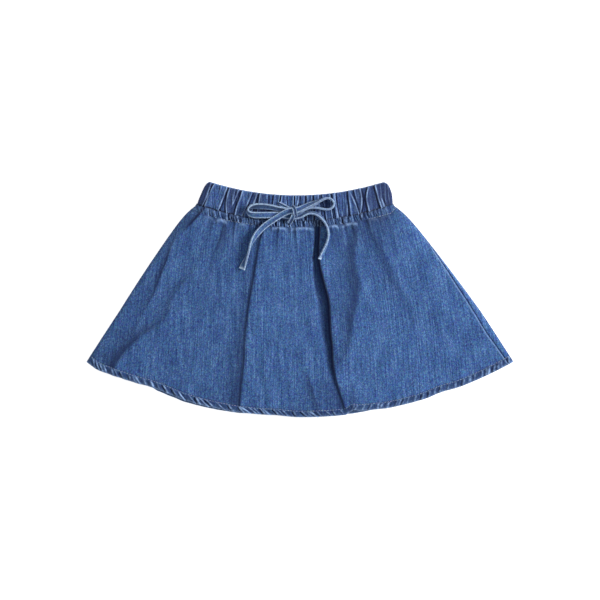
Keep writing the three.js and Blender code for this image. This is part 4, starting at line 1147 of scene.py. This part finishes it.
def cloth_material(name, ramp, pale, dark_dye_and_shade, streak_mm, speckle, bump_mm, sheen):
    """A woven cloth. streak_mm is the width of its streaks, and speckle how much its single yarns show."""
    material = bpy.data.materials.new(name)
    material.use_nodes = True
    tree = material.node_tree
    tree.nodes.clear()
    uv = add_node(tree, "ShaderNodeUVMap", {"uv_map": "grain"}).outputs["UV"]
    in_mm = add_node(tree, "ShaderNodeMapping", Vector=uv, Scale=(1000, 1000, 1000)).outputs["Vector"]

    # the width and length in mm of one spot of each pattern
    sizes = {"long": (streak_mm, 34 * streak_mm), "short": (0.8 * streak_mm, 7 * streak_mm),
             "wash": WASH_SPOT, "yarn": YARN_FLOAT}
    spots = {}
    for key, (width, length) in sizes.items():
        stretch = (1 / width, 1 / length, 1.0)
        spots[key] = add_node(tree, "ShaderNodeMapping", Vector=in_mm, Scale=stretch).outputs["Vector"]
    long, short, wash = (
        add_node(tree, "ShaderNodeTexNoise", {"noise_dimensions": "2D"}, Vector=spots[key], Scale=1.0,
                 Detail=2.0, Roughness=0.5).outputs["Fac"] for key in ("long", "short", "wash"))
    yarns = add_node(tree, "ShaderNodeTexVoronoi", {"voronoi_dimensions": "2D"}, Vector=spots["yarn"],
                     Scale=1.0, Randomness=1.0).outputs["Color"]
    streaks = add_node(tree, "ShaderNodeMix", i0=0.2, i2=long, i3=short).outputs[0]
    with_yarns = add_node(tree, "ShaderNodeMix", i0=speckle, i2=streaks, i3=yarns).outputs[0]
    with_wash = add_node(tree, "ShaderNodeMix", i0=0.2, i2=with_yarns, i3=wash).outputs[0]
    body = add_node(tree, "ShaderNodeValToRGB", Fac=with_wash)
    set_ramp(body, ramp)
    # floats of indigo differ in hue: some lean to violet where dye is fresh, some to green where it has worn
    hued = add_node(tree, "ShaderNodeMix", {"data_type": "RGBA", "blend_type": "SOFT_LIGHT"}, i0=0.34,
                    i6=body.outputs["Color"], i7=yarns).outputs[2]

    wear = add_node(tree, "ShaderNodeAttribute", {"attribute_name": "wear"}).outputs["Fac"]
    dye = add_node(tree, "ShaderNodeAttribute", {"attribute_name": "dye"}).outputs["Fac"]
    uneven, clamped = {"operation": "MULTIPLY_ADD"}, {"operation": "MULTIPLY", "use_clamp": True}
    rub = add_node(tree, "ShaderNodeMath", uneven, i0=yarns, i1=0.6, i2=0.65).outputs[0]
    worn = add_node(tree, "ShaderNodeMath", clamped, i0=wear, i1=rub).outputs[0]
    colours = {"data_type": "RGBA"}
    # the dark colour mixed in here stands for kept indigo, and for painted shade
    shaded = add_node(tree, "ShaderNodeMix", colours, i0=dye, i6=hued, i7=colour(dark_dye_and_shade)).outputs[2]
    final = add_node(tree, "ShaderNodeMix", colours, i0=worn, i6=shaded, i7=colour(pale)).outputs[2]

    slanted = add_node(tree, "ShaderNodeMapping", Vector=in_mm, Rotation=(0, 0, math.radians(TWILL_ANGLE)))
    twill = add_node(tree, "ShaderNodeTexWave", {"bands_direction": "X"}, Vector=slanted.outputs["Vector"],
                     Scale=WAVE_SPACING / TWILL_SPACING, Distortion=1.5, Detail=1.0).outputs["Fac"]
    relief = add_node(tree, "ShaderNodeMix", i0=0.6, i2=twill, i3=with_yarns).outputs[0]
    bump = add_node(tree, "ShaderNodeBump", Height=relief, Strength=0.6, Distance=bump_mm * MM)
    shader = add_node(tree, "ShaderNodeBsdfPrincipled", Base_Color=final, Roughness=0.9,
                      Specular_IOR_Level=0.2, Sheen_Weight=sheen, Sheen_Roughness=0.6,
                      Normal=bump.outputs["Normal"])
    add_node(tree, "ShaderNodeOutputMaterial", Surface=shader.outputs["BSDF"])
    return material


def dress(piece, material):
    """Gives a piece its one material."""
    piece.data.materials.clear()
    piece.data.materials.append(material)


# %% Washed denim, and the same denim gathered, hemmed and folded into tape
# indigo cotton twill, washed soft: mid blue, matt, with long pale streaks and a fine salt-and-pepper grain
washed_denim = cloth_material(
    "washed_cotton_denim_twill",
    [(0.32, "#1E3A70"), (0.44, "#305287"), (0.55, "#3E619A"), (0.68, "#5C80B6")],
    pale="#96B7E6", dark_dye_and_shade="#0B1E4A", streak_mm=1.3, speckle=0.33, bump_mm=0.3, sheen=0.12,
)
# the same twill bunched by elastic: its crests are rubbed nearly white, and its valleys are painted a violet
# navy, for kept indigo and for shade
band_denim = cloth_material(
    "gathered_cotton_denim_twill",
    [(0.32, "#203A6E"), (0.44, "#304F85"), (0.55, "#3E5E98"), (0.68, "#5B7CB4")],
    pale="#A2C4F2", dark_dye_and_shade="#1A1E48", streak_mm=1.3, speckle=0.33, bump_mm=0.3, sheen=0.12,
)
# denim folded twice and sewn flat into a tape: paler than the skirt, and palest on its hard folded edges
tape_denim = cloth_material(
    "folded_denim_tape",
    [(0.32, "#2E4A7A"), (0.44, "#3C5C90"), (0.55, "#4A6DA1"), (0.68, "#688CBB")],
    pale="#B4CCE8", dark_dye_and_shade="#152347", streak_mm=1.1, speckle=0.36, bump_mm=0.25, sheen=0.12,
)
# knitted cotton jersey, dyed in the piece: one even navy, soft and without streaks
navy_jersey = cloth_material(
    "plain_cotton_jersey",
    [(0.34, "#22355C"), (0.50, "#2A4069"), (0.66, "#344C78")],
    pale="#6F88B4", dark_dye_and_shade="#1A2744", streak_mm=0.8, speckle=0.25, bump_mm=0.15, sheen=0.1,
)
# spun polyester thread, pulled tight by the machine: a thin dull line of bluish grey
sewing_thread = cloth_material(
    "spun_polyester_thread",
    [(0.34, "#7F8CA8"), (0.50, "#92A0BA"), (0.66, "#A8B2C6")],
    pale="#C8CCD4", dark_dye_and_shade="#5A5C70", streak_mm=0.4, speckle=0.3, bump_mm=0.05, sheen=0.0,
)

# %% Dress the pieces
FINISHES = [
    (washed_denim, [front, back]),
    (band_denim, [band]),
    (tape_denim, [string_a, string_b, knot]),
    (navy_jersey, [shorts_back, shorts_front]),
    (sewing_thread, [hem_thread, waist_thread]),
]
for material, pieces in FINISHES:
    for piece in pieces:
        dress(piece, material)
    print(material.name, "on", [piece.name for piece in pieces])

# %% The floor
# matt white acrylic sheet, lit a little from below: it stays plain white right up to the cloth
acrylic = bpy.data.materials.new("backlit_white_acrylic")
acrylic.use_nodes = True
acrylic_shader = acrylic.node_tree.nodes["Principled BSDF"]
acrylic_shader.inputs["Base Color"].default_value = colour("#DCDCDC")
acrylic_shader.inputs["Roughness"].default_value = 0.9
acrylic_shader.inputs["Emission Color"].default_value = colour("#FFFFFF")
acrylic_shader.inputs["Emission Strength"].default_value = 0.8
dress(floor, acrylic)

# %% [markdown]
# ## Which body each piece rides on, and which solid it replaces
#
# Each piece rides on the one body of this part and takes the place of its solid, which is hidden. The threads
# replace no solid.

# %% Ride and replace
ROLES = [
    (front, "denim", ["skirt_front"]),
    (back, "denim", ["skirt_back"]),
    (band, "band_denim", ["waistband"]),
    (shorts_front, "jersey", ["shorts_front"]),
    (shorts_back, "jersey", ["shorts_back"]),
    (string_a, "tape_denim", ["drawstring_exit_left", "drawstring_loop_right", "drawstring_end_left"]),
    (string_b, "tape_denim", ["drawstring_exit_right", "drawstring_loop_left", "drawstring_end_right"]),
    (knot, "tape_denim", ["drawstring_knot"]),
    (hem_thread, "denim", []),
    (waist_thread, "denim", []),
]
for piece, slot, nodes in ROLES:
    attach(piece, "root")
    if nodes:
        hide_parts(*nodes)
